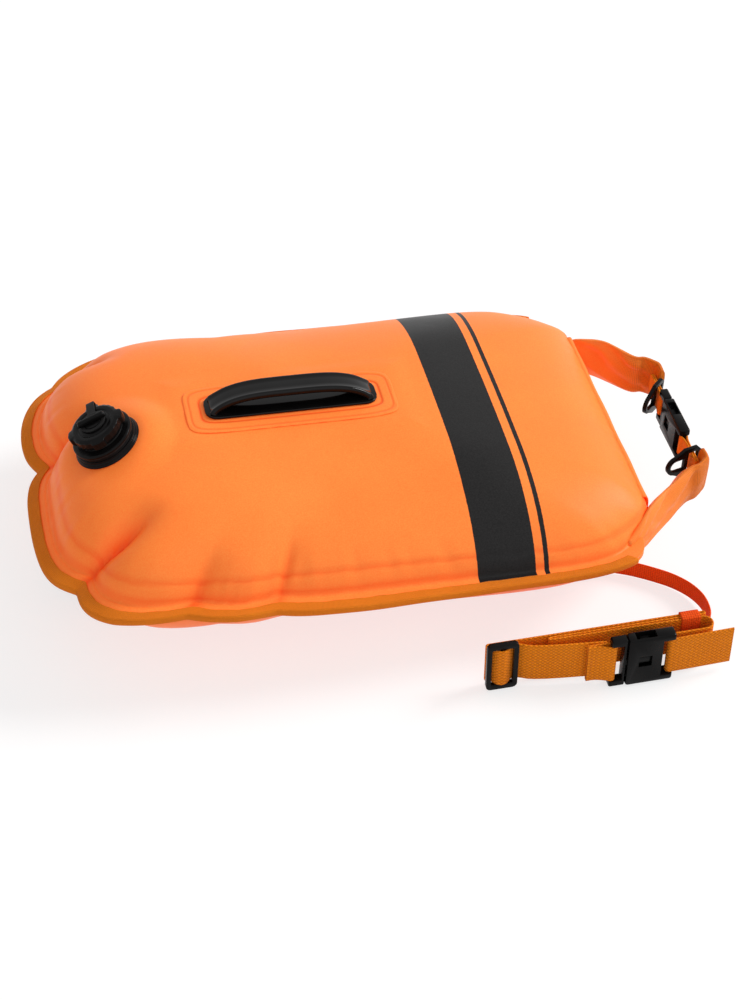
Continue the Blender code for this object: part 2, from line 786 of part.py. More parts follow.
def build_male_half(name, sizes, parent, look):
    """Base with its webbing slot and the guide tongue, about the mouth plane at x = 0."""
    half = sizes.width / 2
    thick = sizes.base_half_thickness
    body = add_object(name, box_mesh(name, (-sizes.base_length, -thick, -half), (-FIT, thick, half)), look, parent)
    edge = body.modifiers.new("soft edges", "BEVEL")
    edge.width = sizes.corner / 2
    edge.segments = 1

    def tool(label, low, high, operation="DIFFERENCE"):
        boolean(body, cutter_object(name + label, box_mesh(name + label, low, high), parent), operation)

    tool("_slot", (-sizes.base_length - OVERRUN, -thick - OVERRUN, -sizes.slot_half_width),
         (-sizes.base_land, thick + OVERRUN, sizes.slot_half_width))
    add_webbing_bar(body, sizes, sizes.male_bar_x, parent)
    tool("_tongue", (-sizes.base_land / 2, -sizes.inner_thickness / 2, -sizes.tongue / 2),
         (sizes.cavity_length - OVERRUN, sizes.inner_thickness / 2, sizes.tongue / 2), "UNION")
    return body


def add_webbing_bar(body, sizes, bar_x, parent):
    """The round bar between the arms of a half, which the webbing is folded round."""
    reach = sizes.slot_half_width + sizes.bar / 2
    bar = cutter_object(
        body.name + "_bar", cylinder_mesh(body.name + "_bar", sizes.bar / 2, -reach, reach, 12), parent,
        Matrix.Translation((bar_x, 0, 0)))
    boolean(body, bar, "UNION")


def prong_outline(sizes, side):
    """View along the hinge of one prong: an arm that widens into the lever, upper (1) or lower (-1)."""
    top = sizes.cavity_half_width - FIT - sizes.hinge_z
    arm = sizes.prong / 2
    root = FIT - PRONG_HINGE_X
    start = sizes.lever_start - PRONG_HINGE_X
    end = start + sizes.lever_length
    nose = sizes.lever_nose
    outline = [
        (root, -arm), (end - nose, -arm), (end, -arm / 2), (end, top - nose), (end - nose / 2, top - nose / 4),
        (end - nose, top), (start + nose / 3, top), (start - nose / 2, arm + FIT), (root, arm)]
    return [(x, side * z) for x, z in outline]


def build_prongs(prefix, sizes, parent, look):
    for label, side in (("upper", 1), ("lower", -1)):
        name = prefix + "_" + label + "_prong"
        place = Matrix.Translation((PRONG_HINGE_X, 0, side * sizes.hinge_z))
        hinge = frame_object(name + "_hinge", place, parent)
        mesh = plate_mesh(name, [prong_outline(sizes, side)], sizes.inner_thickness)
        add_object(name, mesh, look, hinge, Matrix.Rotation(math.radians(90), 4, "X"))


def build_female_half(name, sizes, parent, look):
    """Housing with its mouth at x = 0, side windows for the levers, a face window and the webbing bar."""
    half = sizes.width / 2
    thick = sizes.thickness / 2
    length = sizes.female_bar_x + sizes.bar / 2
    body = add_object(name, box_mesh(name, (0, -thick, -half), (length, thick, half)), look, parent)
    edge = body.modifiers.new("soft edges", "BEVEL")
    edge.width = sizes.corner
    edge.segments = 2

    def cut(label, low, high):
        boolean(body, cutter_object(name + label, box_mesh(name + label, low, high), parent))

    inner = thick - sizes.wall
    cavity = sizes.cavity_half_width
    cut("_cavity", (-OVERRUN, -inner, -cavity), (sizes.cavity_length, inner, cavity))
    lever_end = sizes.lever_start + sizes.lever_length
    for side in (-1, 1):
        cut("_side_window", (sizes.lever_start - sizes.lever_nose, -inner, side * (cavity - OVERRUN)),
            (lever_end + sizes.lever_nose, inner, side * (half + OVERRUN)))
    middle = sizes.lever_start + sizes.lever_length / 2
    window = sizes.window / 2
    cut("_face_window", (middle - window, -thick - OVERRUN, -window), (middle + window, thick + OVERRUN, window))
    cut("_slot", (sizes.housing_length, -thick - OVERRUN, -sizes.slot_half_width),
        (length + OVERRUN, thick + OVERRUN, sizes.slot_half_width))
    add_webbing_bar(body, sizes, sizes.female_bar_x, parent)
    return body


# Buckled loop


def ring_outlines():
    """A ring about its slot's centre: the slot for the tab, then a rounded eye towards -X."""
    half = RING_HEIGHT / 2
    start = RING_SLOT / 2 + RING_BAR
    nose = half * 0.62
    eye_centre = start - RING_LENGTH + nose
    eye_start = -RING_SLOT / 2 - RING_BAR
    outline = [(start, RING_CORNER - half), (start, half - RING_CORNER), (start - RING_CORNER, half)]
    outline += [(eye_start, half)] + arc((eye_centre, 0), nose, 100, 260, 8) + [(eye_start, -half)]
    outline += [(start - RING_CORNER, -half)]
    slot = rounded_rectangle(RING_SLOT, TAB_WIDTH + 6 * FIT, RING_CORNER / 4, 2)
    eye = arc((eye_centre, 0), nose - RING_BAR, 100, 260, 8)
    eye += [(eye_start, RING_BAR - nose), (eye_start, nose - RING_BAR)]
    return [outline, slot, eye]


def build_ring(name, place_x, turn, parent, look):
    """A ring threaded on a tab; its frame is the axis that it swings about."""
    place = Matrix.Translation((place_x, 0, 0)) @ Matrix.Rotation(math.radians(90 + turn), 4, "Z")
    pivot = frame_object(name + "_pivot", place, parent)
    mesh = plate_mesh(name, ring_outlines(), RING_THICKNESS)
    return add_object(name, mesh, look, pivot, Matrix.Rotation(math.radians(90), 4, "X"))


def build_closure(fabric, webbing, plastic):
    """The buckle that joins the ears: its local X runs towards -Y, and its local Y towards +X."""
    sizes = CLOSURE_BUCKLE
    frame = frame_object("closure_frame", CLOSURE_PLACE, BAG)
    slide = frame_object("closure_slide", CLOSURE_PLACE, BAG)
    build_female_half("closure_buckle_female", sizes, frame, plastic)
    build_male_half("closure_buckle_male", sizes, slide, plastic)
    build_prongs("closure", sizes, slide, plastic)
    build_hairpin("near_closure_tab", sizes, sizes.female_bar_x, NEAR_TAB_LENGTH, frame, webbing)
    build_hairpin("far_closure_tab", sizes, sizes.male_bar_x, -FAR_TAB_LENGTH, slide, webbing)
    build_ring("near_ring", sizes.female_bar_x + NEAR_RING_PIVOT, NEAR_RING_TURN, frame, plastic)
    build_ring("far_ring", sizes.male_bar_x - FAR_RING_PIVOT, FAR_RING_TURN, slide, plastic)
    build_ear("far_roll_tip", ear_tip_path(1), EAR_TIP_HEIGHT, fabric, slide)


# Valves


def circle(radius, steps, x=0.0, y=0.0):
    return [
        (x + radius * math.cos(math.tau * i / steps), y + radius * math.sin(math.tau * i / steps))
        for i in range(steps)]


COLLAR_BOTTOM = VALVE_NECK_TOP + SEAL + 2 * FIT
COLLAR_TOP = COLLAR_BOTTOM + INSERT_COLLAR
NECK_TOP = COLLAR_TOP + INSERT_NECK_HEIGHT
GRID_BOTTOM = FIT - VALVE_NECK_BOTTOM + GRID
GRID_TOP = GRID_BOTTOM + GRID
FLAP_TOP = GRID_BOTTOM - FIT
STUD_HEAD = FLAP
CAP_INSIDE_TOP = NECK_TOP + CAP_SEAL + 2 * FIT
CAP_BOTTOM = COLLAR_TOP + TETHER_THICKNESS + 2 * FIT
CAP_TOP = CAP_INSIDE_TOP + CAP_WALL
BOSS_TOP = CAP_TOP + TETHER_THICKNESS + 2 * FIT


def build_valve_base(name, parent, look):
    """Welded flange with a stepped collar and the neck that the valve screws into."""
    neck, bore, top = VALVE_NECK_RADIUS, VALVE_BORE_RADIUS, VALVE_NECK_TOP
    step = (VALVE_FLANGE_RADIUS - neck) / 3
    profile = [
        (bore, top), (neck + step, top), (neck + step, FIT + 2 * VALVE_FLANGE),
        (neck + 2 * step, FIT + 1.7 * VALVE_FLANGE), (VALVE_FLANGE_RADIUS, FIT + VALVE_FLANGE / 2),
        (VALVE_FLANGE_RADIUS, FIT), (neck, FIT), (neck, -VALVE_NECK_BOTTOM), (bore, -VALVE_NECK_BOTTOM)]
    turned(name, profile, look, parent, ring=True)


def build_valve_insert(name, parent, look):
    """Valve body screwed into the base: its collar, its neck for the cap and its bore."""
    outer = VALVE_BORE_RADIUS - FIT
    profile = [
        (INSERT_BORE_RADIUS, NECK_TOP), (INSERT_NECK_RADIUS, NECK_TOP), (INSERT_NECK_RADIUS, COLLAR_TOP),
        (INSERT_COLLAR_RADIUS, COLLAR_TOP - INSERT_COLLAR / 4), (INSERT_COLLAR_RADIUS, COLLAR_BOTTOM),
        (outer, COLLAR_BOTTOM), (outer, FIT - VALVE_NECK_BOTTOM), (INSERT_BORE_RADIUS, FIT - VALVE_NECK_BOTTOM)]
    turned(name, profile, look, parent, ring=True)


def build_washer(name, inner, outer, low, high, parent, look):
    turned(name, [(inner, high), (outer, high), (outer, low), (inner, low)], look, parent, ring=True, steps=20)


def build_grid(name, parent, look):
    """Disc in the valve's bore with four air holes and the stud's hole."""
    outer = INSERT_BORE_RADIUS - FIT
    hole = outer / 4
    outlines = [circle(outer, 20), circle(STUD_RADIUS + FIT, 8)]
    outlines += [circle(hole, 8, outer * 0.6 * math.cos(math.radians(a)), outer * 0.6 * math.sin(math.radians(a)))
                 for a in (45, 135, 225, 315)]
    add_object(name, plate_mesh(name, outlines, GRID), look, parent,
               Matrix.Translation((0, 0, GRID_BOTTOM + GRID / 2)))


def build_stud(name, parent, look):
    """Stud through the grid and the flap, with a head at each end."""
    top = GRID_TOP + FIT + STUD_HEAD
    bottom = FLAP_TOP - FLAP - FLAP_TRAVEL - FIT
    profile = [
        (0, top), (STUD_HEAD_RADIUS, top), (STUD_HEAD_RADIUS, GRID_TOP + FIT), (STUD_RADIUS, GRID_TOP + FIT),
        (STUD_RADIUS, bottom), (STUD_HEAD_RADIUS, bottom), (STUD_HEAD_RADIUS, bottom - STUD_HEAD),
        (0, bottom - STUD_HEAD)]
    turned(name, profile, look, parent, steps=10)


def build_cap(name, parent, look, steps=28):
    """Screw cap: a boss on top with a grip fin, a crown, four lugs round the side and a plain bore."""

    def ring(radius, height, lug=0.0):
        points = []
        for i in range(steps):
            reach = radius + (lug if i % (steps // 4) in (0, 1) else 0)
            angle = math.tau * (i - 0.5) / steps
            points.append((reach * math.cos(angle), reach * math.sin(angle), height))
        return points

    boss = CAP_RADIUS * 0.36
    depth = CAP_TOP - CAP_BOTTOM
    inner = INSERT_NECK_RADIUS + 2 * FIT
    rings = [
        ring(boss, BOSS_TOP), ring(boss, CAP_TOP), ring(CAP_RADIUS * 0.86, CAP_TOP),
        ring(CAP_RADIUS, CAP_TOP - depth * 0.15), ring(CAP_RADIUS, CAP_TOP - depth * 0.25, CAP_LUG),
        ring(CAP_RADIUS, CAP_TOP - depth * 0.75, CAP_LUG), ring(CAP_RADIUS * 0.97, CAP_BOTTOM),
        ring(inner, CAP_BOTTOM), ring(inner, CAP_INSIDE_TOP)]
    cap = add_object(name, loft_mesh(name, rings), look, parent)
    reach = CAP_RADIUS * 0.6
    fin = cutter_object(
        name + "_fin", box_mesh(
            name + "_fin", (-reach, -FIN_WIDTH / 2, BOSS_TOP - FIT), (reach, FIN_WIDTH / 2, BOSS_TOP + FIN_HEIGHT)),
        parent)
    boolean(cap, fin, "UNION")


def build_tether(name, parent, look):
    """Retaining strap: a ring round the valve's neck, a strap up the far side and an eye round the cap's boss."""
    neck = INSERT_NECK_RADIUS + FIT
    low = COLLAR_TOP + FIT
    high = low + TETHER_THICKNESS
    outer = neck + TETHER_WIDTH
    side = CAP_RADIUS + CAP_LUG + 2 * FIT + TETHER_THICKNESS / 2
    boss = CAP_RADIUS * 0.36 + FIT
    eye_low = CAP_TOP + FIT
    eye_middle = eye_low + TETHER_THICKNESS / 2
    made = turned(name, [(neck, high), (outer, high), (outer, low), (neck, low)], look, parent, ring=True, steps=20)
    path = [
        (0, (neck + outer) / 2, low + TETHER_THICKNESS / 2), (0, side - TETHER_THICKNESS, low + TETHER_THICKNESS / 2),
        (0, side, low + 1.6 * TETHER_THICKNESS), (0, side, eye_middle - TETHER_THICKNESS),
        (0, side - TETHER_THICKNESS, eye_middle), (0, boss + TETHER_WIDTH / 2, eye_middle)]
    rings = swept_rings(path, 2.4 * TETHER_WIDTH, TETHER_THICKNESS * 0.98, (1, 0, 0))
    strap = cutter_object(name + "_strap", loft_mesh(name + "_strap", rings), parent)
    eye = turned_cutter(name + "_eye", boss, boss + TETHER_WIDTH, eye_low, eye_low + TETHER_THICKNESS, parent)
    boolean(made, strap, "UNION")
    boolean(made, eye, "UNION")


def turned_cutter(name, inner, outer, low, high, parent, steps=20):
    """A washer that is joined to another piece."""
    rings = [[(x, y, z) for x, y in circle(radius, steps)]
             for radius, z in ((inner, high), (outer, high), (outer, low), (inner, low))]
    return cutter_object(name, loft_mesh(name, rings, capped=False, closed=True), parent)


def build_valve(prefix, matrix, plastic, rubber):
    """One screw valve about its own axis, with its lift frame and its cap frame on that axis."""
    frame = frame_object(prefix + "_valve_frame", matrix, BAG)
    lift = frame_object(prefix + "_cap_lift", Matrix.Identity(4), frame)
    turn = frame_object(prefix + "_cap_turn", Matrix.Identity(4), lift)
    flap = frame_object(prefix + "_flap_slide", Matrix.Identity(4), frame)
    build_valve_base(prefix + "_valve_base", frame, plastic)
    build_washer(prefix + "_valve_seal", VALVE_BORE_RADIUS + FIT, INSERT_COLLAR_RADIUS - 2 * FIT,
                 VALVE_NECK_TOP + FIT, VALVE_NECK_TOP + FIT + SEAL, frame, rubber)
    build_valve_insert(prefix + "_valve_insert", frame, plastic)
    build_grid(prefix + "_valve_grid", frame, plastic)
    build_stud(prefix + "_flap_stud", frame, plastic)
    build_washer(prefix + "_valve_flap", STUD_RADIUS + FIT, INSERT_BORE_RADIUS - 4 * FIT, FLAP_TOP - FLAP,
                 FLAP_TOP, flap, rubber)
    build_tether(prefix + "_cap_tether", lift, rubber)
    build_cap(prefix + "_valve_cap", turn, plastic)
    build_washer(prefix + "_cap_seal", INSERT_BORE_RADIUS + FIT, INSERT_NECK_RADIUS, NECK_TOP + FIT,
                 NECK_TOP + FIT + CAP_SEAL, turn, rubber)


# Handle


def build_handle(fabric, plastic):
    """Welded patch, moulded base and the arched grip over it."""
    low = SEAM_HEIGHT + TOP_CROWN + FIT
    patch = rounded_rectangle(2 * HANDLE_HALF_PATCH[0], 2 * HANDLE_HALF_PATCH[1], HANDLE_PATCH_MARGIN, 5)
    add_object("handle_patch", plate_mesh("handle_patch", [patch], HANDLE_PATCH), fabric,
               matrix=Matrix.Translation((HANDLE_X, 0, low + HANDLE_PATCH / 2)))
    base_low = low + HANDLE_PATCH + FIT
    base_size = (HANDLE_LENGTH + 2 * HANDLE_BASE_MARGIN, HANDLE_WIDTH + 2 * HANDLE_BASE_MARGIN)
    base = rounded_rectangle(base_size[0], base_size[1], base_size[1] / 3, 4)
    add_object("handle_base", plate_mesh("handle_base", [base], HANDLE_BASE), plastic,
               matrix=Matrix.Translation((HANDLE_X, 0, base_low + HANDLE_BASE / 2)))
    grip_low = base_low + HANDLE_BASE + FIT
    half = HANDLE_LENGTH / 2 - GRIP_THICKNESS / 2
    rise = HANDLE_HEIGHT - GRIP_THICKNESS / 2
    steps = 14
    path = []
    for step in range(steps + 1):
        angle = math.pi * step / steps
        c, s = math.cos(angle), math.sin(angle)
        path.append((HANDLE_X - half * math.copysign(abs(c) ** 0.75, c), 0, grip_low + rise * s ** 0.8))
    rings = swept_rings(path, HANDLE_WIDTH, GRIP_THICKNESS, (0, 1, 0), SOFT_SECTION_SHARES)
    for ring in (rings[0], rings[-1]):
        for point in ring:
            point.z = grip_low
    add_object("handle_grip", loft_mesh("handle_grip", rings), plastic)


# Belt


def belt_path():
    """Plan of the whole belt strap, from its sewn end behind the buckle to the loose tail."""
    sizes = BELT_BUCKLE
    layer = TRIGLIDE / 2 + FIT + WEBBING / 2
    bar, slot = TRIGLIDE_BAR, TRIGLIDE_SLOT
    behind = TRIGLIDE_Y + layer
    front = TRIGLIDE_Y - layer
    edge = TRIGLIDE_BAR * 0.2
    start_y = BELT_BUCKLE_Y + sizes.base_half_thickness + FIT + WEBBING / 2
    bar_x = BELT_BUCKLE_X + sizes.female_bar_x
    left_radius = (BELT_BACK_Y - behind) / 2
    left_x = TRIGLIDE_X - bar * 1.5 - slot + left_radius + WEBBING / 2
    fold = LAYER_STEP / 2
    inner_back = BELT_BACK_Y - 2 * LAYER_STEP
    buckle_back = BELT_BUCKLE_Y + sizes.hairpin
    right_radius = (inner_back - buckle_back) / 2
    path = [(BELT_BUCKLE_X + sizes.male_bar_x - sizes.bar, start_y)]
    path += [(BELT_BUCKLE_X - 1.9 * WEBBING_WIDTH, (start_y + behind) / 2)]
    path += [(TRIGLIDE_X + bar * 1.5 + slot + edge, behind), (TRIGLIDE_X + bar / 2 + slot - edge, behind)]
    path += [(TRIGLIDE_X + bar / 2 + edge, front), (TRIGLIDE_X - bar / 2 - edge, front)]
    path += [(TRIGLIDE_X - bar / 2 - slot + edge, behind)]
    path += arc((left_x, behind + left_radius), left_radius, 270, 90, 7)
    path += arc((BELT_FOLD_X, BELT_BACK_Y - fold), fold, 90, -90, 4)
    path += arc((BELT_INNER_FOLD_X, inner_back + fold), fold, 90, 270, 4)
    path += arc((BELT_FOLD_X - LAYER_STEP, inner_back - right_radius), right_radius, 90, -90, 7)
    path += arc((bar_x, BELT_BUCKLE_Y), sizes.hairpin, 90, 270, 6)
    path += [(BELT_TAIL_X, BELT_BUCKLE_Y - sizes.hairpin / 2)]
    return path


def build_belt(webbing, plastic):
    rings = swept_rings(at_height(belt_path(), BELT_CENTRE_Z), WEBBING_WIDTH, WEBBING, (0, 0, 1))
    add_object("belt_strap", loft_mesh("belt_strap", rings), webbing, GROUND)
    bars = 3 * TRIGLIDE_BAR + 2 * TRIGLIDE_SLOT
    outer = rounded_rectangle(bars, TRIGLIDE_HEIGHT, TRIGLIDE_BAR, 3)
    slot = rounded_rectangle(TRIGLIDE_SLOT, WEBBING_WIDTH + 4 * FIT, TRIGLIDE_BAR / 4, 2)
    offset = (TRIGLIDE_BAR + TRIGLIDE_SLOT) / 2
    outlines = [outer, moved(slot, offset), moved(slot, -offset)]
    stand = Matrix.Translation((TRIGLIDE_X, TRIGLIDE_Y, BELT_CENTRE_Z)) @ Matrix.Rotation(math.radians(90), 4, "X")
    add_object("belt_triglide", plate_mesh("belt_triglide", outlines, TRIGLIDE), plastic, GROUND, stand)
    sizes = BELT_BUCKLE
    place = Matrix.Translation((BELT_BUCKLE_X, BELT_BUCKLE_Y, BELT_CENTRE_Z))
    frame = frame_object("belt_buckle_frame", place, GROUND)
    slide = frame_object("belt_buckle_slide", place, GROUND)
    build_female_half("belt_buckle_female", sizes, frame, plastic)
    build_male_half("belt_buckle_male", sizes, slide, plastic)
    build_prongs("belt", sizes, slide, plastic)
    lean = sizes.base_half_thickness - sizes.webbing - FIT / 2
    build_hairpin(
        "belt_sewn_loop", sizes, sizes.male_bar_x, -BELT_LOOP_LENGTH, slide, webbing, BELT_LOOP_TAPER, lean)


# Leash


def loop_half_depth():
    """Half of the inner depth of the leash's loop, round the three back layers of the belt."""
    return LAYER_STEP + WEBBING / 2 + FIT


def leash_route():
    """Centre line and width direction of the leash, from its anchor under the bag to its loop on the belt."""
    on_patch = ANCHOR + 2 * FIT + LEASH / 2
    place = BAG_PLACE @ ANCHOR_FRAME
    across = place.to_3x3() @ Vector((0, 1, 0))
    loop_back = BELT_BACK_Y - LAYER_STEP + loop_half_depth() + LEASH
    end_y = loop_back + FIT + LEASH / 2
    start, end = (place @ Vector((x * ANCHOR_LENGTH, 0, on_patch)) for x in (-0.4, 0.56))
    points = [end] + LEASH_POINTS + [
        (LEASH_LOOP_X + 0.9 * LEASH_WIDTH, end_y + LEASH, LEASH_POINTS[-1][2]), (LEASH_LOOP_X, end_y, LEASH_END_Z),
        (LEASH_LOOP_X - LEASH_WIDTH / 2, end_y, LEASH_END_Z)]
    ups = [across, (0, -0.5, 0.87)] + [(0, 0, 1)] * (len(points) - 2)
    return [start] + smooth_path(points, 2), [across] + [up.normalized() for up in smooth_path(ups, 2)]


def build_leash(webbing, fabric):
    patch = rounded_rectangle(ANCHOR_LENGTH, ANCHOR_WIDTH, ANCHOR_WIDTH / 5, 3)
    add_object("leash_anchor", plate_mesh("leash_anchor", [patch], ANCHOR), fabric,
               matrix=ANCHOR_FRAME @ Matrix.Translation((0, 0, FIT + ANCHOR / 2)))
    points, ups = leash_route()
    add_object("leash", loft_mesh("leash", swept_rings(points, LEASH_WIDTH, LEASH, ups)), webbing, GROUND)
    depth, height = 2 * loop_half_depth(), WEBBING_WIDTH + 2 * FIT
    inner = rounded_rectangle(depth, height, LEASH / 3, 2)
    outer = rounded_rectangle(depth + 2 * LEASH, height + 2 * LEASH, LEASH, 2)
    stand = Matrix(((0, 0, 1, LEASH_LOOP_X), (1, 0, 0, BELT_BACK_Y - LAYER_STEP), (0, 1, 0, BELT_CENTRE_Z),
                    (0, 0, 0, 1)))
    add_object("leash_loop", plate_mesh("leash_loop", [outer, inner], LEASH_WIDTH), webbing, GROUND, stand)


# Assembly


def main():
    fabric = (ORANGE, 0.45)
    binding = (DEEP_ORANGE, 0.8)
    webbing = (WEBBING_ORANGE, 0.85)
    plastic = (BLACK, 0.25)
    rubber = (RUBBER_BLACK, 0.6)
    liner = (CLEAR_GREY, 0.5)
    build_skin("top_panel", TOP_CROWN, 1, TOP_SEATS, TOP_VALVE_FRAME, fabric)
    build_skin("belly_panel", BELLY_CROWN, -1, BELLY_SEATS, BOTTOM_VALVE_FRAME, fabric)
    build_liner("upper_liner", 1, liner)
    build_liner("lower_liner", -1, liner)
    build_binding(binding)
    build_roll(fabric, rubber)
    build_closure(fabric, webbing, plastic)
    build_valve("top", TOP_VALVE_FRAME, plastic, rubber)
    build_valve("bottom", BOTTOM_VALVE_FRAME, plastic, rubber)
    build_handle(fabric, plastic)
    build_belt(webbing, plastic)
    build_leash(webbing, fabric)


main()
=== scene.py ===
"""Dressed model of an open water swim buoy: inflated shells, taped seam, rolled mouth with its gathered ends,
screw valves, moulded handle, buckles, woven belt and leash, with a plain studio round them."""
import json
import math

import bmesh
import bpy
import numpy as np
from bpy.props import FloatProperty, FloatVectorProperty, PointerProperty
from bpy.types import Operator, Panel, PropertyGroup
from mathutils import Matrix, Vector

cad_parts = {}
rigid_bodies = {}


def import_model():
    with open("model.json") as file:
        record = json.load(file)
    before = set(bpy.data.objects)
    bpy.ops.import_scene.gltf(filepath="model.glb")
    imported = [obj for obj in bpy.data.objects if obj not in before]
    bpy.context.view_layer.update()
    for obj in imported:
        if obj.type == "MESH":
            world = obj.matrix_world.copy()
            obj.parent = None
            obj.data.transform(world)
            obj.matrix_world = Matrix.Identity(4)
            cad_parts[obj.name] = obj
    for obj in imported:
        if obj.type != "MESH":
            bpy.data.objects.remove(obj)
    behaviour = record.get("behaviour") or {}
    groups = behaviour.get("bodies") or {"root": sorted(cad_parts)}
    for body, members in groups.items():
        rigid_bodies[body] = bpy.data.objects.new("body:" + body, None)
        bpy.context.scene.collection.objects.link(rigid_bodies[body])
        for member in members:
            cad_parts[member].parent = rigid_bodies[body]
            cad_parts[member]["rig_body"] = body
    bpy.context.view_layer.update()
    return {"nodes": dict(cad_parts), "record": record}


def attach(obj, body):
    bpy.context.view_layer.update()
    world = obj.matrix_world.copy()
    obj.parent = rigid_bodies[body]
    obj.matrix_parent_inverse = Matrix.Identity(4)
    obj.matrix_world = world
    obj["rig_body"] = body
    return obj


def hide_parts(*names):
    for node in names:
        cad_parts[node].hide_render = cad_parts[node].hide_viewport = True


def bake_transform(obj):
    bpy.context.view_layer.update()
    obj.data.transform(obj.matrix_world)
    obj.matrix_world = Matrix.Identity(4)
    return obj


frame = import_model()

bl_info = {
    "name": "Swim Buoy Maker",
    "version": (1, 0, 0),
    "blender": (4, 5, 0),
    "location": "View3D > Sidebar > Buoy",
    "description": "Builds the pieces, finishes and studio of an open water swim buoy",
    "category": "Object",
}

# Sizes that follow the solids, in metres and degrees
# A bare name such as WEBBING, TAB or PATCH is a thickness

# Bag, about the middle of its seam plane before it is tilted
TILT = math.radians(2.2)
LEVEL, SLOPE = math.cos(TILT), math.sin(TILT)
SEAM_HEIGHT = 0.0795
GROUND_X = -0.03844
VALVE_END, ROLL_END, HALF_WIDTH = 0.2345, 0.242, 0.170
TOP_CROWN, BELLY_CROWN = 0.0665, 0.082
VALVE_END_POWER, ROLL_END_POWER = 4.3, 9.0
SIDE_POWER, END_POWER, VALVE_POWER, BELLY_VALVE_POWER = 2.1, 3.0, 5.5, 4.0
ROUNDNESS = 0.59
SKIN_EDGE = 0.0021
FLANGE, MOUTH_FLANGE = 0.013, 0.004
OVERHANG, MOUTH_TUCK = 0.014, 0.007
LINER_BACK = 0.0030
PRESSED_INSET, PRESSED_HALF = 0.0125, 0.0013
SHELL_WALL, LINER_WALL, TAPE_WALL, ROLL_WALL, PATCH_WALL = 0.0009, 0.0003, 0.0006, 0.0011, 0.0008
MOUTH_ANGLE, MOUTH_BLEND = 36.0, 10.0
NOTCH_PLACES = np.array([112.0, 138.0, 170.5, 217.5, 239.2, 254.4])
NOTCH_SHARES = np.array([0.35, 0.6, 1.0, 1.12, 0.85, 0.5])
NOTCH_DRIFT = np.array([4.0, 6.0, 10.0, -15.0, 2.0, -4.0])
NOTCH_STARTS = np.array([0.80, 0.80, 0.82, 0.73, 0.86, 0.78])
NOTCH_DEPTH, NOTCH_SPREAD, CREASE_SPREAD = 0.013, 5.2, 4.4
PLAIN_SHARES = np.array([0.35, 0.6, 1.0, 1.0, 0.8, 0.45])
PLAIN_NOTCH_SPREAD, PLAIN_CREASE_SPREAD = 3.2, 4.2

# How the fabric departs from the plain form: depths are shares of the height, places of the way out
PLAIN_DEPTH, BROAD_DEPTH, FOLD_HEIGHT = 0.42, 0.34, 0.05
PLAIN_CREASE_START, FREE_START = 0.42, 0.62
WELD_FADE, WELD_ROUND, WELD_LIP, WELD_LIP_REACH = 0.03, 0.0012, 0.0003, 0.004
FABRIC_TUCK, PLAIN_TUCK = (0.992, 0.03), (0.985, 0.05)
OVERHANG_START, OVERHANG_BLEND = 0.45, 0.4
DROOP = 0.0052
FIT = 0.0003

# Where the valves and the leash's patch sit: a share of the way out and a direction
TOP_VALVE_SHARE, BOTTOM_VALVE_SHARE, VALVE_ANGLE, TOP_VALVE_LEAN = 0.765, 0.86, 187.0, 9.0
ANCHOR_SHARE, ANCHOR_ANGLE = 0.62, -40.0
VALVE_BORE, BORE_REACH = 0.0250, 0.012
TOP_SEAT, BELLY_SEAT = 0.0290, 0.0305
TOP_SEAT_MARGIN, PATCH_MARGIN, BELLY_MARGIN = 0.030, 0.020, 0.012

# Handle
HANDLE_X, HANDLE_LENGTH, HANDLE_HEIGHT, HANDLE_WIDTH = -0.026, 0.136, 0.0170, 0.022
PATCH_HALF_X, PATCH_HALF_Y = HANDLE_LENGTH / 2 + 0.020, HANDLE_WIDTH / 2 + 0.020
PATCH, HANDLE_BASE = 0.0009, 0.0022
PATCH_LOW = SEAM_HEIGHT + TOP_CROWN + FIT
BASE_LOW = PATCH_LOW + PATCH + FIT
GRIP_LOW = BASE_LOW + HANDLE_BASE + FIT
GRIP_HALF = 0.0029

# Rolled mouth and its buckled loop
ROLL_X, ROLL_HEIGHT, ROLL_HALF_LENGTH = 0.2518, 0.044, 0.112
EAR_THICKNESS, EAR_TIP_HEIGHT = 0.008, 0.036
TIP_X = 0.32125
CLOSURE_X, CLOSURE_MOUTH_Y = 0.3152, 0.0142
MALE_BAR_X, CLOSURE_FEMALE_BAR_X, BELT_FEMALE_BAR_X = -0.0117, 0.0447, 0.0377
HAIRPIN, BAR_RADIUS = 0.003, 0.0019
NEAR_TAB_LENGTH, FAR_TAB_LENGTH, TAB_WIDTH, TAB = 0.0355, 0.0315, 0.020, 0.0016

# Belt and leash, in plan before the shift
BELT_Z, WEBBING_WIDTH, WEBBING = 0.026, 0.038, 0.0016
BELT_BUCKLE_X, BELT_BUCKLE_Y = 0.204, -0.2315
TRIGLIDE_X, TRIGLIDE_Y, BELT_BACK_Y = 0.1055, -0.2170, -0.2095
LAYER_STEP = 0.0026
LOOP_LIFT, LOOP_LENGTH = 0.0041, 0.020
ANCHOR_LENGTH, ANCHOR_WIDTH, ANCHOR = 0.036, 0.026, 0.0012
LEASH_LOOP_X, LEASH_WIDTH, LEASH = 0.2625, 0.016, 0.0015
LEASH_POINTS = (
    (0.2000, -0.0985, 0.0100), (0.2265, -0.1055, 0.0100), (0.2375, -0.1095, 0.0092),
    (0.2490, -0.1150, 0.0088), (0.2625, -0.1240, 0.0088), (0.2765, -0.1355, 0.0090),
    (0.2870, -0.1495, 0.0096), (0.2925, -0.1650, 0.0106), (0.2925, -0.1810, 0.0122),
    (0.2880, -0.1950, 0.0142))


# Sizes and colours that a user may change

def colour(name, text, value):
    """A colour that a user may change."""
    return FloatVectorProperty(
        name=name, description=text, subtype="COLOR", size=3, min=0, max=1, default=value)


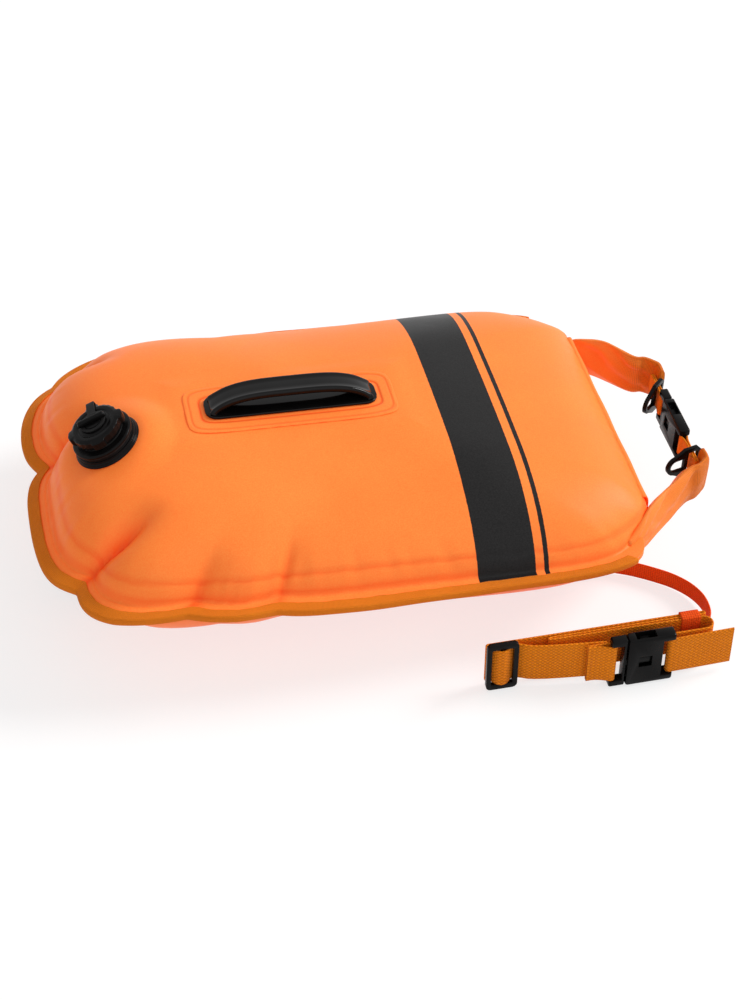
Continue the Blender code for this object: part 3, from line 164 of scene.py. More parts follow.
def length(name, text, value):
    """A length that a user may change."""
    return FloatProperty(name=name, description=text, default=value, min=0, unit="LENGTH", precision=5)


def share(name, text, value):
    """A share that a user may change."""
    return FloatProperty(name=name, description=text, default=value, min=0, max=1, subtype="FACTOR")


class BuoyFabric(PropertyGroup):
    """Coated fabric of the bag."""
    shade: colour("Fabric", "Colour of the coated fabric", (1.0, 0.305, 0.058))
    # Painted glow: an emission, the same in light and shade, that stands in for the fabric's real
    # fluorescence and keeps the shaded fabric red
    glow: colour("Painted fluorescent glow", "Colour of the painted glow that stands in for the dye's fluorescence", (1.0, 0.030, 0.0))
    painted_glow_strength: share("Fluorescence strength", "Strength of the painted glow, the same in light and shade", 0.20)
    # Painted shade: colour that darkens the creases and pressed lines; the fine grain also uses it for its
    # dark flecks
    crease: colour("Crease", "Painted shade in the creases and pressed lines, also the dark flecks of the grain", (0.80, 0.085, 0.008))
    band: colour("Band", "Colour of the printed band", (0.008, 0.0075, 0.0075))
    band_start: FloatProperty(
        name="Band start", description="Where the printed band starts along the bag", default=0.058,
        unit="LENGTH")
    band_width: length("Band width", "Width of the printed band", 0.048)
    line_gap: length("Line gap", "Gap between the band and its narrow line", 0.007)
    line_width: length("Line width", "Width of the narrow line", 0.004)
    weld_band: length("Weld band", "Width of the flat weld inside the tape", 0.0042)
    groove: length("Weld groove", "Depth of the pressed line inside the weld", 0.0011)
    crease_depth: share(
        "Crease depth", "How deep the gathered creases are, as a share of the local height", 0.42)
    ripple: length("Ripple", "Height of the small puckers along the seam", 0.0007)
    flutter: length("Flutter", "How far the seam's flange waves up and down", 0.0012)


class BuoyWoven(PropertyGroup):
    """Tape, webbing and thread."""
    tape: colour("Edge tape", "Colour of the woven edge tape", (1.0, 0.225, 0.012))
    tape_weave: length("Tape weave", "Spacing of the tape's threads", 0.0010)
    tape_width: length("Tape width", "How far the tape reaches in over the flange", 0.0088)
    webbing: colour("Webbing", "Colour of the belt webbing", (1.0, 0.235, 0.006))
    weave: length("Webbing weave", "Spacing of the webbing's threads", 0.0027)
    leash: colour("Leash", "Colour of the leash", (1.0, 0.085, 0.006))
    thread: colour("Thread", "Colour of the sewing thread", (0.90, 0.22, 0.02))
    stitch: length("Stitch", "Length of one stitch", 0.0026)


class BuoyHardware(PropertyGroup):
    """Moulded plastic and rubber."""
    plastic: colour("Plastic", "Colour of the moulded plastic", (0.0042, 0.0038, 0.0038))
    rubber: colour("Rubber", "Colour of the flexible parts", (0.008, 0.0075, 0.0075))
    edge: length("Edge radius", "Rounding of the moulded edges", 0.0005)
    ring_edge: length("Ring edge", "Rounding of the rings and the slider", 0.0009)
    ring_full: length("Ring fullness", "How much fuller the rings are than their plain form", 0.0001)
    lug: length("Lug", "How far the cap's lugs stand out", 0.0030)


class BuoyStage(PropertyGroup):
    """Camera, lights and floor."""
    floor: colour("Floor", "Colour of the floor", (0.86, 0.86, 0.86))
    azimuth: FloatProperty(
        name="Azimuth", description="Camera's direction in plan", default=math.radians(12.13),
        subtype="ANGLE")
    elevation: FloatProperty(
        name="Elevation", description="Camera's height over the horizon", default=math.radians(41.5),
        subtype="ANGLE")
    distance: length("Distance", "Camera's distance", 1.7)
    sky: FloatProperty(name="Sky", description="Strength of the even light", default=0.45, min=0)
    key: FloatProperty(name="Key", description="Strength of the main light", default=2.35, min=0)


# The bag's surface, over arrays of directions and shares

def eased(value):
    """0 to 1 with soft ends."""
    value = np.clip(value, 0, 1)
    return value * value * (3 - 2 * value)


def bell(value, middle, half):
    """1 at the middle, falling off on both sides."""
    return np.exp(-((value - middle) / half) ** 2)


def signed_power(value, power):
    """A power that keeps the value's sign."""
    return np.sign(value) * abs(value) ** power


def notch(angle, spread, shares=NOTCH_SHARES, power=1.25):
    """How much of a gathered notch there is in a direction."""
    away = abs(np.asarray(angle)[..., None] % 360 - NOTCH_PLACES) / spread
    return (shares * np.exp(-away ** power)).max(-1)


def plain_notch(angle, spread):
    """The notch of the plain form, which places the valves and the patches."""
    return notch(angle, spread, PLAIN_SHARES, 2)


def mouth(angle):
    """1 where the rolled mouth closes the bag, 0 round the rest of the seam."""
    return eased((MOUTH_ANGLE + MOUTH_BLEND - abs((np.asarray(angle) + 180) % 360 - 180)) / MOUTH_BLEND)


def flutter(angle, height):
    """Up and down wave of the flange, strongest at the gathered end."""
    turn = np.radians(angle)
    end = 0.5 + 0.5 * eased(-np.cos(turn) + 0.2)
    wave = 0.6 * np.sin(9 * turn + 0.6) + 0.4 * np.sin(23 * turn + 2.0) - 0.8 * notch(angle, 5.0)
    droop = DROOP * eased(-np.cos(turn) * 2.2 - 0.9)
    return (height * end * wave - droop) * (1 - mouth(angle))


def weld(angle, plain=False):
    """The weld line in plan."""
    c, s = np.cos(np.radians(angle)), np.sin(np.radians(angle))
    power = np.where(c < 0, VALVE_END_POWER, ROLL_END_POWER)
    reach = (abs(c) ** power + abs(s) ** power) ** (-1 / power)
    x, y = np.where(c < 0, VALVE_END, ROLL_END) * c * reach, HALF_WIDTH * s * reach
    gathered = plain_notch(angle, PLAIN_NOTCH_SPREAD) if plain else notch(angle, NOTCH_SPREAD)
    keep = 1 - gathered * NOTCH_DEPTH / np.hypot(x, y)
    return x * keep, y * keep


def flange(angle, out, mouth_out=None):
    """A point in plan outside the weld line."""
    x, y = weld(angle)
    if mouth_out is not None:
        out = out + (mouth_out - out) * mouth(angle)
    grow = 1 + out / np.hypot(x, y)
    return x * grow, y * grow


def placed(x, y, z):
    """Points of the level bag in the shared frame."""
    x, y, z = np.broadcast_arrays(x, y, z)
    return np.stack((
        x * LEVEL + (z - SEAM_HEIGHT) * SLOPE + GROUND_X, y,
        SEAM_HEIGHT + (z - SEAM_HEIGHT) * LEVEL - x * SLOPE), -1)


def skin(part, angle, crown, side, fabric=None):
    """Outer face at a share of the way from the middle to the weld. Without fabric it is the plain form."""
    angle, part = np.broadcast_arrays(np.asarray(angle, float), np.asarray(part, float))
    c = np.cos(np.radians(angle))
    end = np.where(c < 0, VALVE_POWER if side > 0 else BELLY_VALVE_POWER, END_POWER)
    power = SIDE_POWER + (end - SIDE_POWER) * c * c
    wx, wy = weld(angle, fabric is None)
    size = np.hypot(wx, wy)
    x, y = wx * part, wy * part
    if fabric:
        drawn_in = notch(angle, NOTCH_SPREAD) * NOTCH_DEPTH
        free = 1 / (1 - drawn_in / (size + drawn_in))
        spread = 1 + (free - 1) * (1 - eased((part - FREE_START) / (1 - FREE_START)))
        x, y = x * spread, y * spread
    inside = (1 - part) * size
    used, bump = part, 0.0
    if fabric:
        away = inside - fabric.weld_band * bell(inside, 0, WELD_FADE)
        lip = WELD_LIP * bell(inside, 0, WELD_LIP_REACH)
        away = 0.5 * (away + np.sqrt(away ** 2 + WELD_ROUND ** 2)) - lip
        used = np.clip(1 - np.maximum(away, 0) / size, 0, 1)
    rise = np.maximum(0, 1 - used ** power) ** ROUNDNESS
    if fabric is None:
        reach = eased((part - PLAIN_CREASE_START) / 0.5)
        rise = rise * (1 - PLAIN_DEPTH * plain_notch(angle, PLAIN_CREASE_SPREAD) * reach)
    else:
        rise = rise * (1 - BROAD_DEPTH * broad_crease(angle, part))
        fold = FOLD_HEIGHT * crease_fold(angle, part)
        rise = rise * (1 - fabric.crease_depth * sharp_crease(angle, part) + fold)
        bump = -fabric.groove * bell(inside, PRESSED_INSET, PRESSED_HALF) * (1 - mouth(angle))
        bump = bump + puckers(angle, inside, fabric.ripple)
    edge, blend = FABRIC_TUCK if fabric else PLAIN_TUCK
    overhang = OVERHANG + (MOUTH_TUCK if fabric else 0)
    x = x + (
        overhang * mouth(angle) * eased((edge - part) / blend)
        * eased((part - OVERHANG_START) / OVERHANG_BLEND))
    height = SKIN_EDGE + rise * (crown - SKIN_EDGE) + bump
    if side < 0:
        height = np.minimum(height, (SEAM_HEIGHT - FIT - x * SLOPE) / LEVEL)
    return x, y, SEAM_HEIGHT + side * height


def crease_places(part):
    """Directions of the valleys, which drift sideways as they run in."""
    return NOTCH_PLACES - NOTCH_DRIFT * (1 - part[..., None])


def gathers(angle, part, width, power, late, blend, beside=0.0):
    """Hollows along the valleys: their width, keenness, later start, blend and shift sideways."""
    away = abs(angle[..., None] % 360 - crease_places(part) - np.sign(NOTCH_DRIFT) * beside) / width
    reach = eased((part[..., None] - NOTCH_STARTS - late) / blend)
    return (NOTCH_SHARES * np.exp(-away ** power) * reach).max(-1)


def broad_crease(angle, part):
    """The wide hollow between two lobes."""
    return gathers(angle, part, CREASE_SPREAD, 1.5, -0.06, 0.22)


def sharp_crease(angle, part):
    """The narrow valley that runs in from each notch and widens on its way."""
    return gathers(angle, part, 0.9 + 1.6 * (1 - part[..., None]), 1.3, 0.0, 0.16)


def crease_fold(angle, part):
    """The fuller lip beside each valley."""
    return gathers(angle, part, 2.2, 2, 0.02, 0.16, 3.4)


# Direction, height, half width and reach of single puckers
PUCKERS = (
    (253.2, 0.0024, 0.9, 0.040), (243.2, -0.0012, 0.45, 0.020), (245.4, -0.0014, 0.45, 0.022),
    (247.6, -0.0013, 0.45, 0.020), (263.0, -0.0008, 0.8, 0.022), (226.0, -0.0010, 0.9, 0.022),
    (231.5, -0.0009, 0.8, 0.018), (206.0, -0.0008, 1.2, 0.020), (196.0, 0.0006, 1.5, 0.024),
    (178.0, -0.0009, 1.1, 0.022), (158.0, -0.0010, 1.0, 0.024), (148.0, -0.0010, 1.0, 0.020),
    (126.0, -0.0010, 1.0, 0.022), (104.0, -0.0009, 0.8, 0.022), (96.0, -0.0007, 0.8, 0.020),
    (309.0, -0.0010, 0.6, 0.022), (314.5, -0.0013, 0.7, 0.026), (319.5, -0.0011, 0.7, 0.024),
    (51.0, -0.0011, 0.7, 0.024), (46.5, -0.0011, 0.7, 0.024), (58.0, -0.0008, 0.6, 0.020))


def puckers(angle, inside, height):
    """Small gathers of the fabric along the seam."""
    turn = np.radians(angle)
    near = bell(inside, 0.013, 0.011)
    waves = 0.5 * np.sin(61 * turn) + 0.3 * np.sin(97 * turn + 1.0) + 0.3 * np.sin(38 * turn + 2.2)
    made = height * near * waves
    for place, size, width, reach in PUCKERS:
        away = (angle - place + 180) % 360 - 180
        made = made + size * bell(away, 0, width) * eased(1.15 - inside / reach) * eased(inside / 0.004)
    return made


def skin_frame(part, angle, crown, side):
    """Matrix on the skin: Z out of the bag, X in the plane of the bag's length."""
    def at(p, a):
        return Vector([float(v) for v in skin(p, a, crown, side)])

    step = 0.01
    normal = (at(part + step, angle) - at(part - step, angle)).cross(
        at(part, angle + step) - at(part, angle - step)).normalized()
    if normal.z * side < 0:
        normal = -normal
    x_axis = (Vector((1, 0, 0)) - normal * normal.x).normalized()
    made = Matrix((x_axis, normal.cross(x_axis), normal)).transposed().to_4x4()
    made.translation = at(part, angle)
    return made


BAG_PLACE = (
    Matrix.Translation((GROUND_X, 0, SEAM_HEIGHT)) @ Matrix.Rotation(TILT, 4, "Y")
    @ Matrix.Translation((0, 0, -SEAM_HEIGHT)))
TOP_VALVE = skin_frame(TOP_VALVE_SHARE, VALVE_ANGLE, TOP_CROWN, 1) @ Matrix.Rotation(
    math.radians(-TOP_VALVE_LEAN), 4, "Y")
BOTTOM_VALVE = skin_frame(BOTTOM_VALVE_SHARE, VALVE_ANGLE, BELLY_CROWN, -1)
ANCHOR_PLACE = skin_frame(ANCHOR_SHARE, ANCHOR_ANGLE, BELLY_CROWN, -1)
HANDLE = Matrix.Translation((HANDLE_X, 0, SEAM_HEIGHT + TOP_CROWN))
TOP_SEATS = (
    (TOP_VALVE, TOP_SEAT, TOP_SEAT, TOP_SEAT_MARGIN),
    (HANDLE, PATCH_HALF_X, PATCH_HALF_Y, PATCH_MARGIN))
BELLY_SEATS = (
    (BOTTOM_VALVE, BELLY_SEAT, BELLY_SEAT, BELLY_MARGIN),
    (ANCHOR_PLACE, ANCHOR_LENGTH / 2, ANCHOR_WIDTH / 2, BELLY_MARGIN))


def seated(points, seats):
    """Draws the skin to the flat seat of what is welded on."""
    for matrix, half_x, half_y, margin in seats:
        axes = np.array(matrix.to_3x3())
        origin = np.array(matrix.translation)
        local = (points - origin) @ axes
        past_x, past_y = abs(local[..., 0]) - half_x, abs(local[..., 1]) - half_y
        away = np.maximum(np.maximum(past_x, past_y), 0)
        if half_x == half_y:  # a round seat
            away = np.maximum(np.hypot(local[..., 0], local[..., 1]) - half_x, 0)
        hold = (1 - eased(away / margin)) * eased((1.8 * margin - abs(local[..., 2])) / (0.8 * margin))
        local[..., 2] = local[..., 2] * (1 - hold)
        points = local @ axes.T + origin
    return points


# Mesh making

def mesh_of(name, shape, sharp=None):
    """A smooth shaded mesh of a bmesh; edges over the sharp angle stay sharp."""
    made = bpy.data.meshes.new(name)
    shape.to_mesh(made)
    shape.free()
    made.shade_smooth()
    if sharp is not None:
        made.set_sharp_from_angle(angle=math.radians(sharp))
    return made


def grid_mesh(columns, rows, place, uv_size=(1.0, 1.0), close=True, attributes=None):
    """A grid drawn over a surface: place turns arrays of u and v, from 0 to 1, into points."""
    shape = bmesh.new()
    uv = shape.loops.layers.uv.new("weave")
    bmesh.ops.create_grid(shape, x_segments=columns, y_segments=rows, size=0.5, calc_uvs=True)
    co = np.array([v.co for v in shape.verts])
    u, v = np.clip(co[:, 0] + 0.5, 0, 1), np.clip(co[:, 1] + 0.5, 0, 1)
    points = place(u, v)
    layers = {key: shape.verts.layers.float.new(key) for key in attributes or {}}
    values = {key: make(u, v) for key, make in (attributes or {}).items()}
    for face in shape.faces:
        for loop in face.loops:
            i = loop.vert.index
            loop[uv].uv = (u[i] * uv_size[0], v[i] * uv_size[1])
    for i, vert in enumerate(shape.verts):
        vert.co = points[i]
        for key, layer in layers.items():
            vert[layer] = float(values[key][i])
    if close:
        bmesh.ops.remove_doubles(shape, verts=shape.verts, dist=0.00002)
    return shape


def linked(name, data):
    """A new object in the scene."""
    made = bpy.data.objects.new(name, data)
    bpy.context.scene.collection.objects.link(made)
    return made


def add_piece(name, shape, finish, body, replaces=(), wall=None, sharp=None, place=None):
    """A finished shape, moved to its place, as a piece that rides on a body."""
    if place is not None:
        bmesh.ops.transform(shape, matrix=place, verts=shape.verts)
    mesh = mesh_of(name, shape, sharp)
    piece = linked(name, mesh)
    mesh.materials.append(bpy.data.materials[finish])
    if wall:
        solidify = piece.modifiers.new("wall", "SOLIDIFY")
        solidify.thickness = wall
        solidify.offset = -1
    if body:
        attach(piece, body)
    if replaces:
        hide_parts(*replaces)
    return piece


def turned_out(shape, normal_sign):
    """Turns an open shell so that its faces look up (1) or down (-1)."""
    shape.normal_update()
    if sum(f.normal.z * f.calc_area() for f in shape.faces) * normal_sign < 0:
        bmesh.ops.reverse_faces(shape, faces=shape.faces)


def smooth_path(points, steps):
    """A smooth curve through points, with steps points for each span."""
    points = [Vector(p) for p in points]
    ends = [2 * points[0] - points[1]] + points + [2 * points[-1] - points[-2]]
    path = []
    for before, start, end, after in zip(ends, ends[1:], ends[2:], ends[3:]):
        for step in range(steps):
            t = step / steps
            path.append(0.5 * (
                2 * start + (end - before) * t + (2 * before - 5 * start + 4 * end - after) * t ** 2
                + (3 * start - before - 3 * end + after) * t ** 3))
    path.append(points[-1])
    return path


def cut_corners(points, times=2):
    """Rounds a line of points by cutting its corners."""
    points = [Vector(p) for p in points]
    for _ in range(times):
        cut = [points[0]]
        for a, b in zip(points, points[1:]):
            cut += [a.lerp(b, 0.25), a.lerp(b, 0.75)]
        points = cut + [points[-1]]
    return points


def arc(centre, radius, start, end, steps):
    """Points along an arc in plan."""
    return [(centre[0] + radius * math.cos(math.radians(start + (end - start) * i / steps)),
             centre[1] + radius * math.sin(math.radians(start + (end - start) * i / steps)))
            for i in range(steps + 1)]


def strap_section(width, thickness, rounding=0.35):
    """Section of a flat strap with rounded edges, from the middle of one face round and back."""
    r = thickness * rounding
    half, deep = width / 2, thickness / 2
    side = [(half - r, -deep), (half - 0.3 * r, -deep + 0.3 * r), (half, -deep + r)]
    corner = side + [(a, -b) for a, b in reversed(side)]
    across = [(-half + r + (width - 2 * r) * i / 6, -deep) for i in range(1, 6)]
    return [(r - half, -deep)] + across + corner + [(a, -b) for a, b in reversed(across)] + [
        (-a, b) for a, b in reversed(corner)][:-1]


def sweep(points, section, ups, scale=None, form=None):
    """A closed strip along a path, with one width direction or one for each point.

    scale gives its size along the way, and form may push its surface.
    """
    points = [Vector(p) for p in points]
    count, around = len(points), len(section)
    ups = ups if isinstance(ups, list) else [Vector(ups)] * count
    runs = [0.0]
    for a, b in zip(points, points[1:]):
        runs.append(runs[-1] + (b - a).length)
    rim = [0.0]
    for a, b in zip(section, section[1:] + section[:1]):
        rim.append(rim[-1] + math.dist(a, b))
    rows = []
    for i, point in enumerate(points):
        before = (point - points[i - 1]).normalized() if i else None
        after = (points[i + 1] - point).normalized() if i < count - 1 else None
        tangent = ((before or after) + (after or before)).normalized()
        mitre = 1 / max(0.5, tangent.dot(after or before))
        up = (Vector(ups[i]) - tangent * tangent.dot(Vector(ups[i]))).normalized()
        side = tangent.cross(up)
        size = scale(runs[i] / runs[-1]) if scale else (1, 1)
        row = []
        for a, b in section:
            push = form(runs[i] / runs[-1], a, b) if form else 0.0
            row.append(point + up * (a * size[0]) + side * ((b * size[1] + push) * mitre))
        rows.append(row)
    flat = np.array([[tuple(p) for p in row] for row in rows])

    def place(u, v):
        return flat[np.rint(u * (count - 1)).astype(int), np.rint(v * around).astype(int) % around]

    shape = grid_mesh(count - 1, around, place)
    uv = shape.loops.layers.uv["weave"]
    for face in shape.faces:
        for loop in face.loops:
            a, b = loop[uv].uv
            loop[uv].uv = (runs[round(a * (count - 1))], rim[round(b * around)])
    bmesh.ops.holes_fill(shape, edges=[e for e in shape.edges if e.is_boundary], sides=0)
    bmesh.ops.recalc_face_normals(shape, faces=shape.faces)
    return shape


def filleted(points, radius, closed=True):
    """Rounds the corners of a profile."""
    made, count = [], len(points)
    for i, point in enumerate(points):
        if not closed and i in (0, count - 1):
            made.append(Vector(point))
            continue
        here = Vector(point)
        before, after = Vector(points[i - 1]) - here, Vector(points[(i + 1) % count]) - here
        r = min(radius, before.length * 0.42, after.length * 0.42)
        a, b = here + before.normalized() * r, here + after.normalized() * r
        made += [a, (a + b + 2 * here) / 4, b]
    return [tuple(p) for p in made]


def spun(profile, steps=96, closed=True):
    """A body of revolution about Z from (radius, height) points."""
    shape = bmesh.new()
    verts = [shape.verts.new((r, 0, z)) for r, z in profile]
    edges = [shape.edges.new(pair) for pair in zip(verts, verts[1:])]
    if closed:
        edges.append(shape.edges.new((verts[-1], verts[0])))
    bmesh.ops.spin(
        shape, geom=verts + edges, axis=(0, 0, 1), cent=(0, 0, 0), angle=math.tau, steps=steps,
        use_merge=True)
    bmesh.ops.remove_doubles(shape, verts=shape.verts, dist=0.00001)
    bmesh.ops.recalc_face_normals(shape, faces=shape.faces)
    return shape


def bevelled(shape, edges, radius, segments):
    """Rounds some edges of a shape."""
    bmesh.ops.bevel(shape, geom=edges, offset=radius, offset_type="OFFSET", segments=segments, profile=0.5,
                    affect="EDGES", clamp_overlap=True, material=-1)
    return shape


def block(low, high, radius, segments):
    """A box with rounded edges."""
    shape = bmesh.new()
    bmesh.ops.create_cube(shape, size=1.0)
    low, high = Vector(low), Vector(high)
    bmesh.ops.scale(shape, vec=high - low, verts=shape.verts)
    bmesh.ops.translate(shape, vec=(high + low) / 2, verts=shape.verts)
    return bevelled(shape, shape.edges, radius, segments)


def joined(*shapes):
    """Several bmesh shapes as one."""
    whole = shapes[0]
    for other in shapes[1:]:
        spare = bpy.data.meshes.new("spare")
        other.to_mesh(spare)
        other.free()
        whole.from_mesh(spare)
        bpy.data.meshes.remove(spare)
    return whole


def softened(source, radius, segments=3, angle=28):
    """A merged copy of a moulded node with its edges rounded."""
    shape = bmesh.new()
    shape.from_mesh(frame["nodes"][source].data)
    bmesh.ops.remove_doubles(shape, verts=shape.verts, dist=0.000005)
    bmesh.ops.dissolve_limit(
        shape, angle_limit=math.radians(0.5), verts=shape.verts, edges=shape.edges, delimit={"NORMAL"})
    edges = [e for e in shape.edges if len(e.link_faces) == 2 and e.calc_face_angle(0) > math.radians(angle)]
    return bevelled(shape, edges, radius, segments)


# Finishes

def feed(tree, target, sockets):
    """Gives values to a node's inputs; a value that is a socket is linked."""
    for key, value in sockets.items():
        if isinstance(value, bpy.types.NodeSocket):
            tree.links.new(value, target.inputs[key])
        else:
            target.inputs[key].default_value = value


def node(tree, kind, sockets=None, **settings):
    """A shader node with its settings and what its inputs are given."""
    made = tree.nodes.new("ShaderNode" + kind)
    for key, value in settings.items():
        setattr(made, key, value)
    feed(tree, made, sockets or {})
    return made


def maths(tree, operation, a, b=0.0, clamp=False):
    """A Math node's result."""
    return node(tree, "Math", {0: a, 1: b}, operation=operation, use_clamp=clamp).outputs[0]


def blended(tree, factor, a, b):
    """Mix of two colours."""
    return node(tree, "Mix", {0: factor, 6: a, 7: b}, data_type="RGBA").outputs[2]


def ramp(tree, value, low, high, start=0.0, end=1.0):
    """A value spread from low..high to start..end, and held at both ends."""
    return node(tree, "MapRange", {
        "Value": value, "From Min": low, "From Max": high, "To Min": start, "To Max": end}).outputs[0]


def noise(tree, vector, scale, detail=2.0, roughness=0.5):
    """Noise at a scale."""
    return node(tree, "TexNoise", {
        "Vector": vector, "Scale": scale, "Detail": detail, "Roughness": roughness}).outputs["Fac"]


def tone(rgb, factor=1.0):
    """A colour with alpha, made lighter or darker."""
    return tuple(min(1.0, c * factor) for c in rgb) + (1.0,)


def new_look(name, roughness, **sockets):
    """A material and its tree, shader and object coordinates."""
    made = bpy.data.materials.get(name) or bpy.data.materials.new(name)
    made.use_nodes = True
    tree = made.node_tree
    tree.nodes.clear()
    shader = node(tree, "BsdfPrincipled", {"Roughness": roughness})
    feed(tree, shader, {key.replace("_", " "): value for key, value in sockets.items()})
    out = node(tree, "OutputMaterial", {"Surface": shader.outputs[0]})
    out.location = (300, 0)
    return made, tree, shader, node(tree, "TexCoord").outputs["Object"]


def bumped(tree, shader, *layers):
    """Stacks bump layers of (height, distance, strength)."""
    normal = None
    for height, distance, strength in layers:
        bump = node(tree, "Bump", {"Height": height, "Distance": distance, "Strength": strength})
        if normal:
            tree.links.new(normal, bump.inputs["Normal"])
        normal = bump.outputs[0]
    tree.links.new(normal, shader.inputs["Normal"])


def fabric_look(name, fabric, banded=False, creased=False):
    """Coated fabric with a painted glow that stands in for its fluorescence, fine grain, faint mottling and
    painted shade in the creases.
    """
    made, tree, shader, place = new_look(name, 0.42, Specular_IOR_Level=0.13)
    mottle = noise(tree, place, 16.0, 3.0)
    grain = noise(tree, place, 900.0, 2.0)
    colour_now = blended(
        tree, ramp(tree, mottle, 0.3, 0.7), tone(fabric.shade, 0.95), tone(fabric.shade, 1.05))
    colour_now = blended(tree, ramp(tree, grain, 0.25, 0.75, 0, 0.35), colour_now, tone(fabric.crease))
    # Painted glow: the emission lights the fabric the same in light and shade; the printed band gets none
    glow = tone(fabric.glow)
    # Painted shade: the crease attribute darkens the fabric toward the crease colour in the valleys and
    # pressed lines
    if creased:
        depth = node(tree, "Attribute", attribute_name="crease").outputs["Fac"]
        colour_now = blended(tree, maths(tree, "MULTIPLY", depth, 0.9, True), colour_now, tone(fabric.crease))
    if banded:
        x = node(tree, "SeparateXYZ", {0: place}).outputs[0]
        wobble = maths(tree, "MULTIPLY", maths(tree, "SUBTRACT", noise(tree, place, 400.0), 0.5), 0.0006)
        x = maths(tree, "ADD", x, wobble)
        start, stop = fabric.band_start, fabric.band_start + fabric.band_width
        line = stop + fabric.line_gap
        print_now = maths(
            tree, "ADD", band_mask(tree, x, start, stop),
            band_mask(tree, x, line, line + fabric.line_width), True)
        ink = blended(tree, ramp(tree, grain, 0.3, 0.7), tone(fabric.band), tone(fabric.band, 2.2))
        colour_now = blended(tree, print_now, colour_now, ink)
        glow = blended(tree, print_now, glow, (0, 0, 0, 1))
    feed(tree, shader, {
        "Emission Color": glow, "Emission Strength": fabric.painted_glow_strength, "Base Color": colour_now,
        "Roughness": ramp(tree, mottle, 0.2, 0.8, 0.34, 0.47)})
    weave = woven_height(tree, place, 0.00055)
    bumped(
        tree, shader, (noise(tree, place, 60.0, 3.0), 0.0006, 0.22), (weave, 0.00004, 0.35),
        (grain, 0.00006, 0.5))
    return made


def ear_look(name, fabric, woven):
    """Gathered end of the roll: coated fabric that gives way to the woven strip sewn on its tip."""
    made = fabric_look(name, fabric)
    tree = made.node_tree
    shader = next(n for n in tree.nodes if n.type == "BSDF_PRINCIPLED")
    uv = node(tree, "UVMap", uv_map="weave").outputs[0]
    cells = woven_height(tree, uv, 0.0013)
    high = maths(tree, "POWER", maths(tree, "ABSOLUTE", cells), 0.6)
    part = node(tree, "Attribute", attribute_name="crease").outputs["Fac"]
    # Painted shade and light on the woven strip: darker gaps and lighter high threads by thread height
    strip = blended(tree, ramp(tree, high, 0.05, 0.75), tone(woven.tape, 0.42), tone(woven.tape, 0.9))
    # Painted glow on the coated part of the ear, the same in light and shade, weaker than on the bag
    feed(tree, shader, {
        "Base Color": blended(tree, part, shader.inputs["Base Color"].links[0].from_socket, strip),
        "Emission Color": blended(tree, part, tone(fabric.glow), (0, 0, 0, 1)),
        "Emission Strength": fabric.painted_glow_strength * 0.4})
    bump = node(tree, "Bump", {
        "Height": maths(tree, "MULTIPLY", high, part), "Distance": 0.0003, "Strength": 0.8,
        "Normal": shader.inputs["Normal"].links[0].from_socket})
    tree.links.new(bump.outputs[0], shader.inputs["Normal"])
    return made


def band_mask(tree, x, start, stop):
    """1 between two places along x."""
    return maths(tree, "MULTIPLY", ramp(tree, x, start, start + 0.0004), ramp(tree, x, stop + 0.0004, stop))


def woven_height(tree, place, pitch, staggered=False):
    """Crossed threads of a plain weave, or bumpy cells in staggered rows as on heavy webbing."""
    along, across = node(tree, "SeparateXYZ", {0: place}).outputs[:2]
    if staggered:
        along = maths(tree, "MULTIPLY", along, 0.8)
        along, across = maths(tree, "ADD", along, across), maths(tree, "SUBTRACT", along, across)
    waves = [maths(tree, "SINE", maths(tree, "MULTIPLY", way, math.pi / pitch)) for way in (along, across)]
    return maths(tree, "MULTIPLY", *waves)


def woven_look(name, shade, pitch, depth, roughness=0.78, speckle=0.5, sheen=0.04, staggered=False):
    """Woven tape or webbing: crossed threads in the piece's own UV map, painted shade in the gaps and painted
    light on the high threads, with lighter faded patches.
    """
    made, tree, shader, place = new_look(
        name, roughness, Specular_IOR_Level=0.12, Sheen_Weight=sheen, Sheen_Roughness=0.4)
    uv = node(tree, "UVMap", uv_map="weave").outputs[0]
    cells = woven_height(tree, uv, pitch, staggered)
    high = maths(tree, "POWER", maths(tree, "ABSOLUTE", cells), 0.6)
    twist = noise(tree, place, 1 / pitch * 2.2, 2.0)
    fade = noise(tree, place, 35.0, 3.0)
    # Painted shade and light: the gaps between threads are darkened and the high threads lightened by thread
    # height
    colour_now = blended(tree, ramp(tree, high, 0.05, 0.75), tone(shade, 0.62), tone(shade, 1.2))
    colour_now = blended(tree, ramp(tree, twist, 0.35, 0.75, 0, speckle), colour_now, tone(shade, 0.72))
    colour_now = blended(tree, ramp(tree, fade, 0.45, 0.8, 0, 0.3), colour_now, tone(shade, 1.25))
    feed(tree, shader, {
        "Base Color": colour_now, "Roughness": ramp(tree, high, 0, 1, roughness + 0.1, roughness - 0.1)})
    bumped(tree, shader, (high, depth, 0.9), (cells, depth * 0.6, 0.5), (twist, depth * 0.4, 0.4))
    return made


def plastic_look(name, shade, roughness=0.24, grain=0.00003, coat=0.0, shine=0.08):
    """Moulded black plastic: faint flow marks, a fine skin and slightly worn gloss."""
    made, tree, shader, place = new_look(
        name, roughness, Coat_Weight=coat, Coat_Roughness=0.08, Specular_IOR_Level=shine)
    flow = noise(tree, place, 45.0, 4.0)
    fine = noise(tree, place, 1400.0, 2.0)
    colour_now = blended(tree, ramp(tree, flow, 0.3, 0.7), tone(shade, 0.8), tone(shade, 1.35))
    feed(tree, shader, {
        "Base Color": colour_now,
        "Roughness": ramp(tree, flow, 0.25, 0.75, roughness * 0.8, roughness * 1.3)})
    bumped(tree, shader, (flow, 0.0004, 0.12), (fine, grain, 0.5))
    return made


